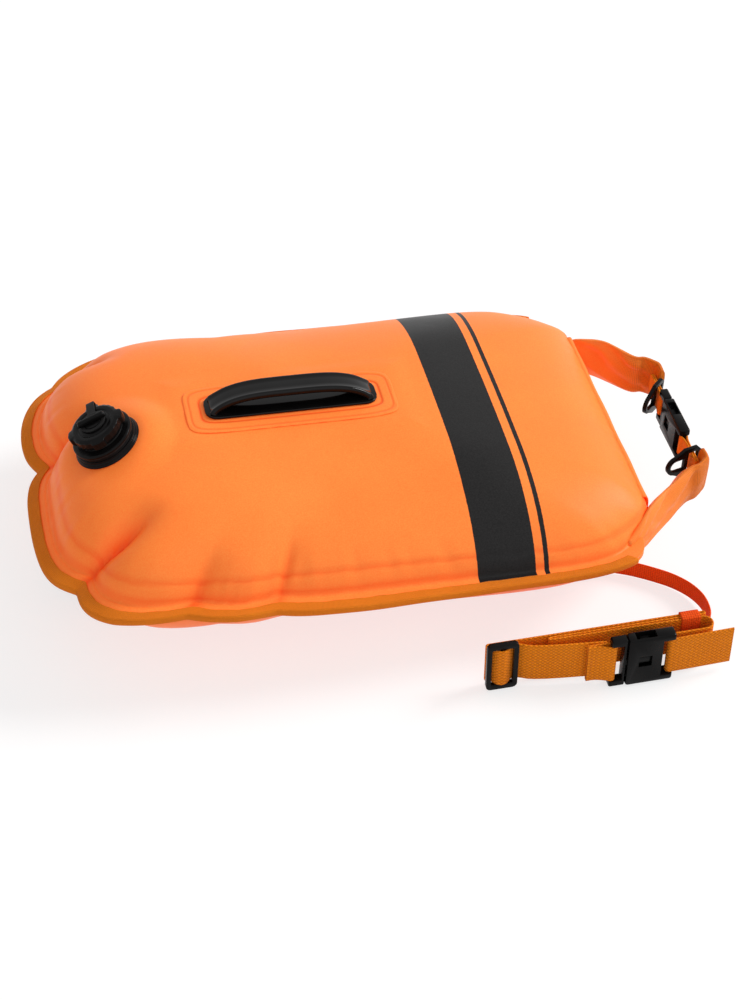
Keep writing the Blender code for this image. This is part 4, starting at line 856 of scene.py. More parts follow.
def rubber_look(name, shade):
    """Flexible moulding: matt with a dusty skin."""
    made, tree, shader, place = new_look(name, 0.45, Specular_IOR_Level=0.12)
    dust = noise(tree, place, 90.0, 4.0)
    colour_now = blended(tree, ramp(tree, dust, 0.35, 0.75), tone(shade), tone(shade, 1.9))
    feed(tree, shader, {"Base Color": colour_now, "Roughness": ramp(tree, dust, 0.3, 0.7, 0.42, 0.6)})
    bumped(tree, shader, (noise(tree, place, 700.0, 2.0), 0.00005, 0.5))
    return made


def film_look(name):
    """Milky liner film with faint folds."""
    made, tree, shader, place = new_look(name, 0.35)
    cloud = noise(tree, place, 25.0, 3.0)
    milk = blended(tree, ramp(tree, cloud, 0.3, 0.7), (0.48, 0.48, 0.46, 1), (0.62, 0.62, 0.59, 1))
    feed(tree, shader, {"Base Color": milk})
    bumped(tree, shader, (cloud, 0.002, 0.3))
    return made


# Operators

class BUOY_OT_finishes(Operator):
    """Makes the finishes and gives them to the moulded nodes that stay"""
    bl_idname = "buoy.finishes"
    bl_label = "Finishes"

    def execute(self, context):
        scene = context.scene
        fabric, woven, hardware = scene.buoy_fabric, scene.buoy_woven, scene.buoy_hardware
        fabric_look("shell fabric", fabric, banded=True, creased=True)
        fabric_look("belly fabric", fabric, creased=True)
        fabric_look("roll fabric", fabric)
        fabric_look("patch fabric", fabric)
        ear_look("ear fabric", fabric, woven)
        woven_look("edge tape", woven.tape, woven.tape_weave, 0.00025, 0.82, 0.75)
        woven_look("belt webbing", woven.webbing, woven.weave * 1.2, 0.0006, staggered=True)
        woven_look("leash webbing", woven.leash, woven.weave * 0.7, 0.0003)
        woven_look("tab webbing", woven.webbing, woven.weave * 0.7, 0.0003)
        woven_look("sewing thread", woven.thread, 0.0003, 0.00005, 0.6)
        looks = {
            "black_plastic": plastic_look("moulded plastic", hardware.plastic),
            "black_rubber": rubber_look("soft rubber", hardware.rubber),
            "liner_film": film_look("liner film")}
        plastic_look("handle plastic", hardware.plastic, 0.07, 0.000006, 0.0, 0.14)
        for part in frame["record"]["subparts"]:
            look = looks.get(part["material_slot"])
            if look:
                target = frame["nodes"][part["node"]]
                for slot in target.material_slots:
                    slot.material = look
        return {"FINISHED"}


class BUOY_OT_shells(Operator):
    """Builds the inflated top and belly shells and the two liners between them"""
    bl_idname = "buoy.shells"
    bl_label = "Shells and liners"

    def execute(self, context):
        fabric = context.scene.buoy_fabric
        self.shell(
            "top_shell", 1, TOP_CROWN, TOP_SEATS, TOP_VALVE, "shell fabric", "top_panel", fabric)
        self.shell(
            "belly_shell", -1, BELLY_CROWN, BELLY_SEATS, BOTTOM_VALVE, "belly fabric", "belly_panel", fabric)
        for name, side in (("upper_liner", 1), ("lower_liner", -1)):
            def place(u, v, side=side):
                angle = u * 360
                x, y = flange(angle, FLANGE - LINER_BACK, -LINER_BACK)
                z = SEAM_HEIGHT + side * 0.0005 + flutter(angle, fabric.flutter) * v ** 12
                return placed(x * v, y * v, z)

            shape = grid_mesh(180, 14, place)
            turned_out(shape, side)
            add_piece(name + "_film", shape, "liner film", "bag", (name,), LINER_WALL)
        return {"FINISHED"}

    def shell(self, name, side, crown, seats, valve, finish, node_name, fabric):
        """One shell: the skin up to the weld, then the flange, with the valve's hole cut out."""
        split = 0.84

        def parts(v):
            return 1 - (1 - np.clip(v / split, 0, 1)) ** 1.35

        def place(u, v):
            angle, part = u * 360, parts(v)
            x, y, z = skin(part, angle, crown, side, fabric)
            points = np.stack((x, y, z), -1)
            points = np.where((part < 0.98)[:, None], seated(points, seats), points)
            out = np.clip((v - split) / (1 - split), 0, 1)
            fx, fy = flange(angle, out * (FLANGE - 0.0006), out * (MOUTH_FLANGE - 0.0006))
            fz = SEAM_HEIGHT + side * SKIN_EDGE + flutter(angle, fabric.flutter) * out
            points = np.where((v > split)[:, None], np.stack((fx, fy, fz), -1), points)
            return placed(points[:, 0], points[:, 1], points[:, 2])

        # Mask of painted shade: the sharp crease valleys, the pressed weld line and the inner edge of the
        # flat weld
        def crease(u, v):
            angle, part = u * 360, parts(v)
            x, y = weld(angle)
            inside = (1 - part) * np.hypot(x, y)
            line = 0.5 * bell(inside, PRESSED_INSET, 0.0015) + 0.5 * bell(inside, 0.0045, 0.001)
            return np.clip(sharp_crease(angle, part) * 1.1 + line * (v < split), 0, 1)

        columns, rows = 440, 96
        shape = grid_mesh(columns, rows, place, attributes={"crease": crease})
        into = (BAG_PLACE @ valve).inverted()
        hole = []
        for face in shape.faces:
            local = into @ face.calc_center_median()
            if math.hypot(local.x, local.y) < VALVE_BORE and abs(local.z) < BORE_REACH:
                hole.append(face)
        bmesh.ops.delete(shape, geom=hole, context="FACES")
        turned_out(shape, side)
        add_piece(name, shape, finish, "bag", (node_name,), SHELL_WALL)


class BUOY_OT_tape(Operator):
    """Folds the woven edge tape over the seam's flange"""
    bl_idname = "buoy.tape"
    bl_label = "Edge tape"

    def execute(self, context):
        scene = context.scene
        inner = FLANGE - scene.buoy_woven.tape_width
        top = 0.0033
        upper = [(inner, 0.0024), (inner, top), (inner + 0.004, top), (inner + 0.008, top),
                 (FLANGE + 0.0002, top), (FLANGE + 0.0011, top * 0.7)]
        section = np.array(upper + [(FLANGE + 0.0014, 0)] + [(x, -z) for x, z in reversed(upper)])
        runs = np.concatenate(([0], np.cumsum(np.hypot(*np.diff(section, axis=0).T))))
        start = MOUTH_ANGLE + MOUTH_BLEND
        angles = np.linspace(start, 360 - start, 4001)
        line = np.stack(flange(angles, FLANGE), -1)
        way = np.concatenate(([0], np.cumsum(np.hypot(*np.diff(line, axis=0).T))))

        def place(u, v):
            angle = np.interp(u * way[-1], way, angles)
            out = np.interp(v * runs[-1], runs, section[:, 0])
            high = np.interp(v * runs[-1], runs, section[:, 1])
            frill = 0.0004 * np.sin(u * way[-1] / 0.0037) * np.sin(u * way[-1] / 0.0151 + 1)
            x, y = flange(angle, out + frill * (abs(high) > 0.0026) * (out < inner + 0.002))
            waved = flutter(angle, scene.buoy_fabric.flutter) * np.clip(out / FLANGE, 0, 1)
            return placed(x, y, SEAM_HEIGHT + high + waved)

        shape = grid_mesh(900, 22, place, (way[-1], runs[-1]), close=False)
        turned_out(shape, 1)
        bmesh.ops.recalc_face_normals(shape, faces=shape.faces)
        middle = min(shape.faces, key=lambda f: (f.calc_center_median() - Vector((0, -0.2, 0.0828))).length)
        if middle.normal.z < 0 and middle.calc_center_median().z > SEAM_HEIGHT:
            bmesh.ops.reverse_faces(shape, faces=shape.faces)
        add_piece("edge_tape", shape, "edge tape", "bag", ("seam_binding",), TAPE_WALL)
        return {"FINISHED"}


class BUOY_OT_roll(Operator):
    """Rolls the mouth round its stiffener and gathers its two ends into ears"""
    bl_idname = "buoy.roll"
    bl_label = "Rolled mouth and ears"

    def execute(self, context):
        turns, core, half_thick = 2.6, 0.42, 0.0051

        def place(u, v):
            turn = u * turns * math.tau
            grow = core + (1 - core) * u
            c, s = np.cos(turn), np.sin(turn)
            z = grow * (ROLL_HEIGHT / 2 - 0.0006) * signed_power(c, 0.45)
            x = grow * half_thick * signed_power(s, 0.8)
            y = (v - 0.5) * 2 * ROLL_HALF_LENGTH
            x = x + 0.0005 * np.sin(y * 95 + 1.1) * grow * s
            return placed(ROLL_X + x, y, SEAM_HEIGHT + z)

        shape = grid_mesh(150, 60, place, close=False)
        bmesh.ops.recalc_face_normals(shape, faces=shape.faces)
        outer = max(shape.faces, key=lambda f: f.calc_center_median().x)
        if outer.normal.x < 0:
            bmesh.ops.reverse_faces(shape, faces=shape.faces)
        add_piece("rolled_fabric", shape, "roll fabric", "bag", ("rolled_mouth",), ROLL_WALL)
        far = self.ear("far_ear", 1)
        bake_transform(far)
        near = self.ear("near_ear", -1)
        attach(near, "bag")
        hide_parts("far_roll_ear", "far_roll_tip")
        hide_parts("near_roll_ear")
        return {"FINISHED"}

    def ear(self, name, side):
        """One gathered end of the roll, bent round to its tab."""
        end_y = CLOSURE_MOUTH_Y - MALE_BAR_X + FAR_TAB_LENGTH
        if side < 0:
            end_y = CLOSURE_FEMALE_BAR_X + NEAR_TAB_LENGTH - CLOSURE_MOUTH_Y
        start, fold = ROLL_HALF_LENGTH + FIT, EAR_THICKNESS
        root_y = end_y + 2.2 * fold
        root = [(ROLL_X, start - 0.002), (ROLL_X + 0.0022, start + 0.0035), (ROLL_X + 0.0080, start + 0.0045)]
        if side < 0:
            root = [(ROLL_X - 0.0245, start + 0.0370), (ROLL_X - 0.0120, start + 0.0270),
                    (ROLL_X - 0.0005, start + 0.0150)]
        path = root + [
            (ROLL_X + 0.0165, start - 0.0015), (ROLL_X + 0.031, start - 0.013), (TIP_X - 2.5 * fold, root_y),
            (TIP_X - 1.25 * fold, end_y + 1.7 * fold), (TIP_X - 0.5 * fold, end_y + 1.05 * fold),
            (TIP_X, end_y + 0.4 * fold), (TIP_X, end_y - 0.84 * fold)]
        path = [tuple(p) for p in smooth_path([(x, side * y, SEAM_HEIGHT) for x, y in path], 7)]
        half, deep, around = ROLL_HEIGHT / 2, EAR_THICKNESS / 2, 44
        fan_height, cross_height, layer_height = 0.0021, 0.0010, 0.0004
        section = []
        for i in range(around):
            t = math.tau * i / around
            across, through = signed_power(math.cos(t), 0.6), signed_power(math.sin(t), 0.62)
            section.append((half * across, deep * 0.9 * through))

        def form(u, a, b):
            """Pleats that fan out from the root, and the edges of the layers."""
            across = a / half
            level = min(1.0, u * 7) * min(1.0, max(0.0, 0.93 - u) * 6)
            fan = math.sin(6.0 * across + 15.0 * (u - 0.5) * (1 + 0.4 * across) * side)
            cross = math.sin(3.0 * across - 11 * u + 0.8)
            push = fan_height * fan * abs(fan) ** 0.5 + cross_height * cross
            layers = layer_height * math.sin(b / deep * 9)
            return math.copysign(1, b) * push * level * (1 - abs(across) ** 6) + layers * abs(across) ** 4

        lower, reach, power = (0.42, 0.42, 1.5) if side > 0 else (0.62, 0.26, 1.3)

        def scale(u):
            """Height and thickness along the ear, lower at its root."""
            root = lower * max(0.0, 1 - u / reach) ** power
            return 1 + (EAR_TIP_HEIGHT / ROLL_HEIGHT - 1) * u ** 1.2 - root, 1 - 0.08 * u

        def strip_part(u):
            """1 on the woven strip at the tip."""
            return max(0.0, min(1.0, (u - 0.45) / 0.4))

        sag, sag_place, sag_reach = 0.007 if side > 0 else 0.004, 0.1, 0.32
        path = [(x, y, z - sag * bell(i / (len(path) - 1), sag_place, sag_reach))
                for i, (x, y, z) in enumerate(path)]
        shape = sweep(path, section, (0, 0, 1), scale, form)
        uv, layer = shape.loops.layers.uv["weave"], shape.verts.layers.float.new("crease")
        far = max(loop[uv].uv.x for face in shape.faces for loop in face.loops)
        for face in shape.faces:
            for loop in face.loops:
                loop.vert[layer] = strip_part(loop[uv].uv.x / far)
        return add_piece(name, shape, "ear fabric", None, place=BAG_PLACE)


class BUOY_OT_handle(Operator):
    """Moulds the carrying handle, its base and the welded patch under it"""
    bl_idname = "buoy.handle"
    bl_label = "Handle"

    def execute(self, context):
        half = HANDLE_LENGTH / 2 - GRIP_HALF
        rise = HANDLE_HEIGHT - GRIP_HALF
        path = []
        for i in range(73):
            along = -signed_power(math.cos(math.pi * i / 72), 0.85)
            height = rise * max(0.0, 1 - abs(along) ** 3.6) ** 0.80
            path.append((HANDLE_X + half * along, 0, GRIP_LOW + height))
        path[0], path[-1] = (path[0][0], 0, GRIP_LOW), (path[-1][0], 0, GRIP_LOW)
        w, t = HANDLE_WIDTH / 2, GRIP_HALF
        side = [(0.62, -0.72), (0.84, -1), (0.96, -0.8), (1, -0.3), (1, 0.3), (0.95, 0.8), (0.84, 1),
                (0.72, 0.94), (0.60, 0.76), (0.3, 0.80)]
        other = [(-a, b) for a, b in reversed(side)]
        section = other[-1:] + [(0, -0.62)] + side + [(0, 0.82)] + other[:-1]
        section = [(w * a, t * b) for a, b in section]

        def scale(u):
            foot = max(0.0, 1 - min(u, 1 - u) / 0.06)
            return 1 + 0.10 * foot ** 2, 1 + 0.25 * foot ** 2

        shape = sweep(path, section, (0, 1, 0), scale)
        for vert in shape.verts:
            vert.co.z = max(vert.co.z, GRIP_LOW)
        add_piece("handle_arch", shape, "handle plastic", "bag", ("handle_grip",), sharp=50,
                  place=BAG_PLACE)
        add_piece("handle_foot", softened("handle_base", 0.0007), "handle plastic", "bag",
                  ("handle_base",), sharp=35)
        self.patch()
        return {"FINISHED"}

    def patch(self):
        """The welded patch under the handle, with its two pressed lines."""
        corner, outer_line = 0.020, 0.004

        def rim(turn, inset):
            """Rounded outline of the patch, drawn in by inset."""
            c, s = np.cos(turn), np.sin(turn)
            a, b = PATCH_HALF_X - inset, PATCH_HALF_Y - inset
            scale = 1 / ((abs(c) / a) ** 7 + (abs(s) / b) ** 7) ** (1 / 7)
            return c * scale, s * scale

        def inset_at(v):
            return np.interp(v, (0, 0.12, 0.9, 0.96, 1.0), (corner, 0.014, 0.0016, 0.0003, 0.0))

        def place(u, v):
            turn, inset = u * math.tau, inset_at(v)
            x, y = rim(turn, inset)
            x, y = x * np.minimum(1, v / 0.08), y * np.minimum(1, v / 0.08)
            low = np.interp(v, (0, 0.9, 0.96, 1), (PATCH, PATCH, 0.0007, 0.0001))
            groove = 0.0006 * bell(inset, PRESSED_INSET, 0.0011) + 0.0004 * bell(inset, outer_line, 0.0009)
            wave = 0.0002 * np.sin(turn * 18) * (v > 0.9)
            return placed(HANDLE_X + x, y, PATCH_LOW + low - groove * (v > 0.1) + wave)

        # Mask of painted shade along the patch's two pressed lines
        def crease(u, v):
            inset = inset_at(v)
            return 0.9 * bell(inset, PRESSED_INSET, 0.0012) * (v > 0.1) + 0.5 * bell(inset, outer_line, 0.001)

        shape = grid_mesh(240, 60, place, attributes={"crease": crease})
        turned_out(shape, 1)
        add_piece("handle_patch_fabric", shape, "belly fabric", "bag", ("handle_patch",),
                  PATCH_WALL)


class BUOY_OT_valves(Operator):
    """Turns both screw valves: base, valve body, cap with its lugs and fin, and the retaining strap"""
    bl_idname = "buoy.valves"
    bl_label = "Valves"

    def execute(self, context):
        hardware = context.scene.buoy_hardware
        for prefix, matrix in (("top", TOP_VALVE), ("bottom", BOTTOM_VALVE)):
            place = BAG_PLACE @ matrix
            base = [(0.0200, 0.0072), (0.0250, 0.0072), (0.0250, 0.0052), (0.0262, 0.0050), (0.0262, 0.0034),
                    (0.0274, 0.0030), (0.0274, 0.0020), (0.0285, 0.0012), (0.0285, 0.0003), (0.0232, 0.0003),
                    (0.0232, -0.0090), (0.0200, -0.0090)]
            ring = spun(filleted(base, 0.0004))
            self.add(prefix + "_base_ring", ring, place, "bag", prefix + "_valve_base")
            body = [(0.0135, 0.0203), (0.0165, 0.0203), (0.0165, 0.0118), (0.0248, 0.0118), (0.0262, 0.0110),
                    (0.0262, 0.0092), (0.0197, 0.0092), (0.0197, -0.0087), (0.0135, -0.0087)]
            insert = spun(filleted(body, 0.0004))
            self.add(prefix + "_valve_body", insert, place, "bag", prefix + "_valve_insert")
            self.add(prefix + "_cap", self.cap(hardware.lug), place, prefix + "_cap", prefix + "_valve_cap")
            self.add(prefix + "_strap", self.strap(), place, prefix + "_tether", prefix + "_cap_tether",
                     "soft rubber", "black_rubber")
        return {"FINISHED"}

    def add(self, name, shape, place, body, source, finish="moulded plastic", slot="black_plastic"):
        add_piece(name, shape, finish, body, (source,), sharp=40, place=place)

    def cap(self, lug):
        """A turned cap with four lugs, fine ridges and a fin on top."""
        radius, top, low = 0.0212, 0.0243, 0.0142
        boss, boss_top, bore, ceiling = 0.00763, 0.0267, 0.0171, 0.0221
        profile = [
            (0, boss_top), (boss, boss_top), (boss, top), (0.0128, top), (0.0134, top - 0.0006),
            (0.0146, top - 0.0006), (0.0152, top), (radius * 0.88, top), (radius, top - 0.0016),
            (radius, top - 0.0028), (radius, low + 0.0028), (radius * 0.97, low),
            (bore, low), (bore, ceiling), (0, ceiling)]
        shape = spun(filleted(profile, 0.0005, closed=False), 112, closed=False)
        for vert in shape.verts:
            reach = math.hypot(vert.co.x, vert.co.y)
            if reach > radius * 0.95:
                angle = math.degrees(math.atan2(vert.co.y, vert.co.x)) % 90
                away = abs((angle + 45) % 90 - 45)
                high = float(eased((vert.co.z - low) / 0.002) * eased((top - 0.0006 - vert.co.z) / 0.0014))
                grow = 1 + lug / radius * float(eased((15.5 - away) / 4.0)) * high
                ridge = 0.0002 * math.cos(math.radians(angle * 24)) * high / radius
                vert.co.x *= grow + ridge
                vert.co.y *= grow + ridge
        reach, half, tall = radius * 0.6, 0.0020, 0.0050
        fin = block((-reach, -half, boss_top - 0.0002), (reach, half, boss_top + tall), 0.0011, 4)
        for vert in fin.verts:
            rise = (vert.co.z - boss_top) / tall
            if rise > 0.3:
                vert.co.x *= 1 - 0.12 * rise
                vert.co.y *= 1 - 0.25 * rise
        return joined(shape, fin)

    def strap(self):
        """The collar round the valve, the eye on the cap's boss and the strip that joins them."""
        low, thick = 0.0121, 0.0018
        eye_low = 0.0246

        def collar(inner, outer, under, steps):
            ring = [(inner, under + thick), (outer, under + thick), (outer, under), (inner, under)]
            return spun(filleted(ring, 0.0005), steps)

        neck, eye = collar(0.0168, 0.0198, low, 64), collar(0.00793, 0.01093, eye_low, 48)
        side = 0.0255
        path = cut_corners([
            (0, 0.0185, low + 0.0009), (0, side - 0.0018, low + 0.0009), (0, side, low + 0.0029),
            (0, side, eye_low - 0.0009), (0, side - 0.0018, eye_low + 0.0009),
            (0, 0.0095, eye_low + 0.0009)], 2)
        strip = sweep(path, strap_section(0.0072, 0.00175), (1, 0, 0))
        return joined(neck, eye, strip)


class BUOY_OT_hardware(Operator):
    """Rounds the moulded edges of the buckles, rings and slider"""
    bl_idname = "buoy.hardware"
    bl_label = "Buckles, rings and slider"

    def execute(self, context):
        hardware = context.scene.buoy_hardware
        bodies = {n: o["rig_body"] for n, o in frame["nodes"].items()}
        for name in ("closure_buckle_female", "closure_buckle_male", "belt_buckle_female", "belt_buckle_male",
                     "closure_upper_prong", "closure_lower_prong", "belt_upper_prong", "belt_lower_prong",
                     "far_ring", "near_ring", "belt_triglide"):
            radius = hardware.ring_edge if name.endswith(("ring", "triglide")) else hardware.edge
            shape = softened(name, radius)
            if name.endswith("ring"):
                shape.normal_update()
                for vert in shape.verts:
                    vert.co += vert.normal * hardware.ring_full
            add_piece(name + "_moulding", shape, "moulded plastic", bodies[name], (name,),
                      sharp=35)
        return {"FINISHED"}


def stitch_row(start, end, normal, size):
    """A row of stitches from start to end that stands out along normal."""
    start, end, normal = Vector(start), Vector(end), Vector(normal).normalized()
    along = (end - start).normalized()
    count = max(2, round((end - start).length / (size * 1.45)))
    turn = Matrix((along, normal.cross(along), normal)).transposed().to_4x4()
    shapes = []
    for i in range(count):
        one = bmesh.new()
        bmesh.ops.create_icosphere(one, subdivisions=1, radius=0.5)
        bmesh.ops.scale(one, vec=(size, size * 0.26, size * 0.22), verts=one.verts)
        place = Matrix.Translation(start.lerp(end, (i + 0.5) / count)) @ turn
        bmesh.ops.transform(one, matrix=place, verts=one.verts)
        shapes.append(one)
    return joined(*shapes)


class BUOY_OT_belt(Operator):
    """Weaves the belt strap, its sewn loop and the tabs of the buckled mouth, with their stitches"""
    bl_idname = "buoy.belt"
    bl_label = "Belt and tabs"

    def execute(self, context):
        stitch = context.scene.buoy_woven.stitch
        shift = Matrix.Translation((GROUND_X, 0, 0))
        belt = cut_corners([(x, y, BELT_Z) for x, y in self.belt_path()], 2)
        shape = sweep(belt, strap_section(WEBBING_WIDTH, WEBBING), (0, 0, 1))
        self.add("belt_webbing", shape, shift, "bag", ("belt_strap",), "belt webbing")
        lean = LOOP_LIFT - WEBBING - FIT / 2
        loop = self.hairpin(BELT_BUCKLE_X + MALE_BAR_X, BELT_BUCKLE_Y, -LOOP_LENGTH, 0.0085, WEBBING, lean)
        loop = cut_corners([(x, y, BELT_Z) for x, y in loop], 2)
        shape = sweep(loop, strap_section(WEBBING_WIDTH, WEBBING), (0, 0, 1))
        self.add("loop_webbing", shape, shift, "belt_half", ("belt_sewn_loop",), "belt webbing")
        face = BELT_BUCKLE_Y + lean - (WEBBING + FIT) / 2 - WEBBING / 2
        rows = [stitch_row((x, face, BELT_Z - 0.016), (x, face, BELT_Z + 0.016), (0, -1, 0), stitch)
                for x in (BELT_BUCKLE_X + MALE_BAR_X - 0.0135, BELT_BUCKLE_X + MALE_BAR_X - 0.0170)]
        self.add("loop_stitches", joined(*rows), shift, "belt_half", (), "sewing thread")
        for name, bar_x, reach, body in (("near_closure_tab", CLOSURE_FEMALE_BAR_X, NEAR_TAB_LENGTH, "bag"),
                                         ("far_closure_tab", MALE_BAR_X, -FAR_TAB_LENGTH, "closure_half")):
            path = self.hairpin(bar_x, 0.0, reach, 0.004, TAB, 0.0)
            path = cut_corners([(CLOSURE_X + y, CLOSURE_MOUTH_Y - x, SEAM_HEIGHT) for x, y in path], 2)
            shape = sweep(path, strap_section(TAB_WIDTH, TAB), (0, 0, 1))
            self.add(name + "_webbing", shape, BAG_PLACE, body, (name,), "tab webbing")
        return {"FINISHED"}

    def add(self, name, shape, place, body, nodes, finish):
        add_piece(name, shape, finish, body, nodes, sharp=50, place=place)

    def hairpin(self, bar_x, middle, reach, taper, thick, lean):
        """Plan of webbing folded round a bar, both layers running off together."""
        away = math.copysign(1, reach)
        layer = (thick + FIT) / 2
        bend = BAR_RADIUS + FIT + thick / 2
        turn = [(bar_x - away * x, y) for x, y in arc((0, 0), bend, 90, -90, 6)]
        knee = bar_x + away * (bend + taper)
        path = [(bar_x + reach, lean + layer), (knee, lean + layer)] + turn + [
            (knee, lean - layer), (bar_x + reach, lean - layer)]
        return [(x, y + middle) for x, y in path]

    def belt_path(self):
        """Plan of the belt, from its sewn end to the loose tail."""
        layer, bar, slot = 0.0031, 0.004, 0.0070
        behind, front, edge = TRIGLIDE_Y + layer, TRIGLIDE_Y - layer, 0.0008
        start_y = BELT_BUCKLE_Y + LOOP_LIFT + FIT + WEBBING / 2
        left_radius = (BELT_BACK_Y - behind) / 2
        left_x = TRIGLIDE_X - bar * 1.5 - slot + left_radius + WEBBING / 2
        step, fold_x, turn_x, tail_x = LAYER_STEP, 0.2745, 0.146, 0.293
        inner_back = BELT_BACK_Y - 2 * step
        right_radius = (inner_back - BELT_BUCKLE_Y - HAIRPIN) / 2
        path = [(BELT_BUCKLE_X + MALE_BAR_X - 0.0038, start_y),
                (BELT_BUCKLE_X - 1.9 * WEBBING_WIDTH, (start_y + behind) / 2)]
        path += [(TRIGLIDE_X + bar * 1.5 + slot + edge, behind), (TRIGLIDE_X + bar / 2 + slot - edge, behind),
                 (TRIGLIDE_X + bar / 2 + edge, front), (TRIGLIDE_X - bar / 2 - edge, front),
                 (TRIGLIDE_X - bar / 2 - slot + edge, behind)]
        path += arc((left_x, behind + left_radius), left_radius, 270, 90, 7)
        path += arc((fold_x, BELT_BACK_Y - step / 2), step / 2, 90, -90, 4)
        path += arc((turn_x, inner_back + step / 2), step / 2, 90, 270, 4)
        path += arc((fold_x - step, inner_back - right_radius), right_radius, 90, -90, 7)
        path += arc((BELT_BUCKLE_X + BELT_FEMALE_BAR_X, BELT_BUCKLE_Y), HAIRPIN, 90, 270, 6)
        return path + [(tail_x, BELT_BUCKLE_Y - HAIRPIN / 2)]


class BUOY_OT_leash(Operator):
    """Lays the leash from its anchor under the bag to its loop round the belt"""
    bl_idname = "buoy.leash"
    bl_label = "Leash"

    def execute(self, context):
        stitch = context.scene.buoy_woven.stitch
        place = BAG_PLACE @ ANCHOR_PLACE
        back = Matrix.Translation((-GROUND_X, 0, 0)) @ place
        across = back.to_3x3() @ Vector((0, 1, 0))
        on_patch = ANCHOR + 2 * FIT + LEASH / 2
        start, end = (back @ Vector((x * ANCHOR_LENGTH, 0, on_patch)) for x in (-0.4, 0.56))
        half_depth = LAYER_STEP + WEBBING / 2 + FIT
        middle = BELT_BACK_Y - LAYER_STEP
        end_y = middle + half_depth + LEASH + FIT + LEASH / 2
        points = [end, *LEASH_POINTS, (LEASH_LOOP_X + 0.9 * LEASH_WIDTH, end_y + LEASH, LEASH_POINTS[-1][2]),
                  (LEASH_LOOP_X, end_y, 0.018), (LEASH_LOOP_X - LEASH_WIDTH / 2, end_y, 0.018)]
        ups = [across, (0, -0.5, 0.87)] + [(0, 0, 1)] * (len(points) - 2)
        route = [start] + smooth_path(points, 4)
        leans = [across] + [u.normalized() for u in smooth_path(ups, 4)]
        route = [p + Vector((GROUND_X, 0, 0)) for p in route]
        shape = sweep(route, strap_section(LEASH_WIDTH, LEASH), leans)
        piece = add_piece("leash_webbing", shape, "leash webbing", "bag", ("leash",), sharp=50)
        deep, high = half_depth + LEASH / 2, WEBBING_WIDTH / 2 + FIT + LEASH / 2
        r = 0.0012
        ring = [(deep, 0.002), (deep, high - r), (deep - r, high), (r - deep, high), (-deep, high - r),
                (-deep, r - high), (r - deep, -high), (deep - r, -high), (deep, r - high), (deep, 0.0)]
        ring = cut_corners([(LEASH_LOOP_X + GROUND_X, middle + y, BELT_Z + z) for y, z in ring], 1)
        shape = sweep(ring, strap_section(LEASH_WIDTH, LEASH), (1, 0, 0))
        add_piece("leash_loop_webbing", shape, "leash webbing", "bag", ("leash_loop",), sharp=50)
        pad = softened("leash_anchor", 0.0003, 2)
        add_piece("leash_anchor_patch", pad, "patch fabric", "bag", ("leash_anchor",),
                  sharp=35)
        top = ANCHOR + 2 * FIT + LEASH
        rows = []
        x, y, cross_x, cross_y = 0.013, 0.006, 0.012, 0.005
        for ends in (((-x, -y), (-x, y)), ((x, -y), (x, y)), ((-x, -y), (x, -y)), ((-x, y), (x, y)),
                     ((-cross_x, -cross_y), (cross_x, cross_y)), ((-cross_x, cross_y), (cross_x, -cross_y))):
            a, b = (place @ Vector((*end, top)) for end in ends)
            rows.append(stitch_row(a, b, place.to_3x3() @ Vector((0, 0, 1)), stitch))
        add_piece("anchor_stitches", joined(*rows), "sewing thread", "bag")
        return {"FINISHED"}


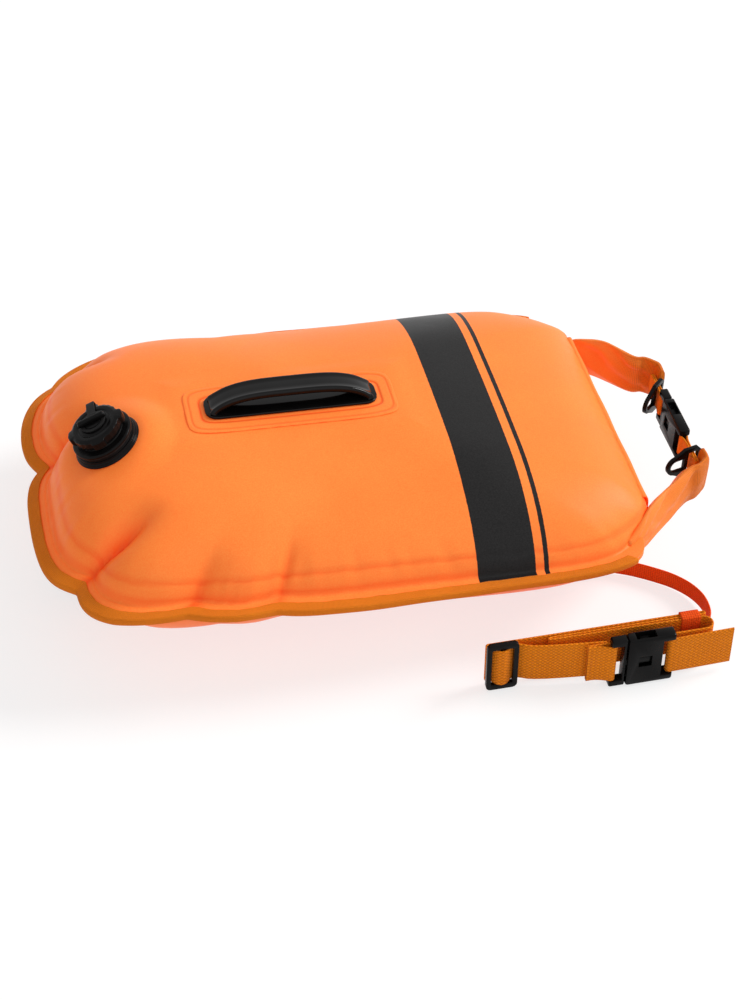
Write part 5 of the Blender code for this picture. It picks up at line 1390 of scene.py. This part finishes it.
class BUOY_OT_stage(Operator):
    """Sets up the floor, the lights, the background and the camera"""
    bl_idname = "buoy.stage"
    bl_label = "Studio"

    def execute(self, context):
        stage = context.scene.buoy_stage
        scene = context.scene
        a, e = stage.azimuth, stage.elevation
        right = Vector((math.cos(a), -math.sin(a), 0))
        view = Vector((math.sin(a) * math.cos(e), math.cos(a) * math.cos(e), -math.sin(e)))
        camera = bpy.data.cameras.new("camera")
        camera.sensor_fit = "VERTICAL"
        camera.sensor_height = 36
        camera.lens = 73.44
        holder = linked("camera", camera)
        matrix = Matrix((right, right.cross(view), -view)).transposed().to_4x4()
        aim = Vector((-0.0030, -0.0595, 0.0794))
        matrix.translation = aim - view * stage.distance
        holder.matrix_world = matrix
        scene.camera = holder
        self.floor(stage)
        self.world(scene, stage)
        lights = (
            ("key", (0.86, 0.12, 0.62), stage.key, 24),
            ("fill", (0.1, -0.8, 0.55), stage.key * 0.16, 60))
        for name, direction, strength, spread in lights:
            sun = bpy.data.lights.new(name, "SUN")
            sun.energy = strength
            sun.angle = math.radians(spread)
            linked(name, sun).matrix_world = Vector(direction).to_track_quat("Z", "Y").to_matrix().to_4x4()
        scene.view_settings.view_transform = "Standard"
        return {"FINISHED"}

    def seen(self, tree):
        """1 for rays that see the background directly, in a reflection or through something."""
        path = node(tree, "LightPath").outputs
        most = maths(tree, "MAXIMUM", path["Is Camera Ray"], path["Is Glossy Ray"])
        return maths(tree, "MAXIMUM", most, path["Is Transmission Ray"])

    def floor(self, stage):
        shape = bmesh.new()
        bmesh.ops.create_grid(shape, x_segments=8, y_segments=8, size=6.0)
        floor = linked("floor", mesh_of("floor", shape))
        made, tree, shader, place = new_look("floor paper", 0.95, Specular_IOR_Level=0.0)
        grain = noise(tree, place, 300.0)
        base = blended(tree, ramp(tree, grain, 0.3, 0.7), tone(stage.floor, 0.99), tone(stage.floor, 1.01))
        base = blended(tree, self.seen(tree), base, (0.36, 0.36, 0.36, 1.0))
        glow = maths(tree, "MULTIPLY", self.seen(tree), 0.70)
        feed(tree, shader, {"Base Color": base, "Emission Color": (1, 1, 1, 1), "Emission Strength": glow})
        floor.data.materials.append(made)

    def world(self, scene, stage):
        world = bpy.data.worlds.new("studio")
        scene.world = world
        world.use_nodes = True
        tree = world.node_tree
        strength = ramp(tree, self.seen(tree), 0, 1, stage.sky, 1.0)
        feed(tree, tree.nodes["Background"], {"Color": (1, 1, 1, 1), "Strength": strength})


GROUPS = {
    "buoy_fabric": BuoyFabric, "buoy_woven": BuoyWoven,
    "buoy_hardware": BuoyHardware, "buoy_stage": BuoyStage}
STEPS = (BUOY_OT_stage, BUOY_OT_finishes, BUOY_OT_leash, BUOY_OT_shells, BUOY_OT_tape, BUOY_OT_roll,
         BUOY_OT_handle, BUOY_OT_valves, BUOY_OT_hardware, BUOY_OT_belt)


class BUOY_PT_panel(Panel):
    """Sidebar panel that lists the sizes, colours and steps"""
    bl_idname = "BUOY_PT_panel"
    bl_label = "Swim buoy"
    bl_space_type = "VIEW_3D"
    bl_region_type = "UI"
    bl_category = "Buoy"

    def draw(self, context):
        for name, group in GROUPS.items():
            box = self.layout.box()
            box.label(text=group.__doc__)
            for key in group.__annotations__:
                box.prop(getattr(context.scene, name), key)
        for step in STEPS:
            self.layout.operator(step.bl_idname)


def register():
    for group in (*GROUPS.values(), *STEPS, BUOY_PT_panel):
        bpy.utils.register_class(group)
    for name, group in GROUPS.items():
        setattr(bpy.types.Scene, name, PointerProperty(type=group))


def unregister():
    for name in GROUPS:
        delattr(bpy.types.Scene, name)
    for group in reversed((*GROUPS.values(), *STEPS, BUOY_PT_panel)):
        bpy.utils.unregister_class(group)


def main():
    register()
    bpy.ops.buoy.stage()
    bpy.ops.buoy.finishes()
    bpy.ops.buoy.leash()
    bpy.ops.buoy.shells()
    bpy.ops.buoy.tape()
    bpy.ops.buoy.roll()
    bpy.ops.buoy.handle()
    bpy.ops.buoy.valves()
    bpy.ops.buoy.hardware()
    bpy.ops.buoy.belt()


if __name__ == "__main__":
    main()
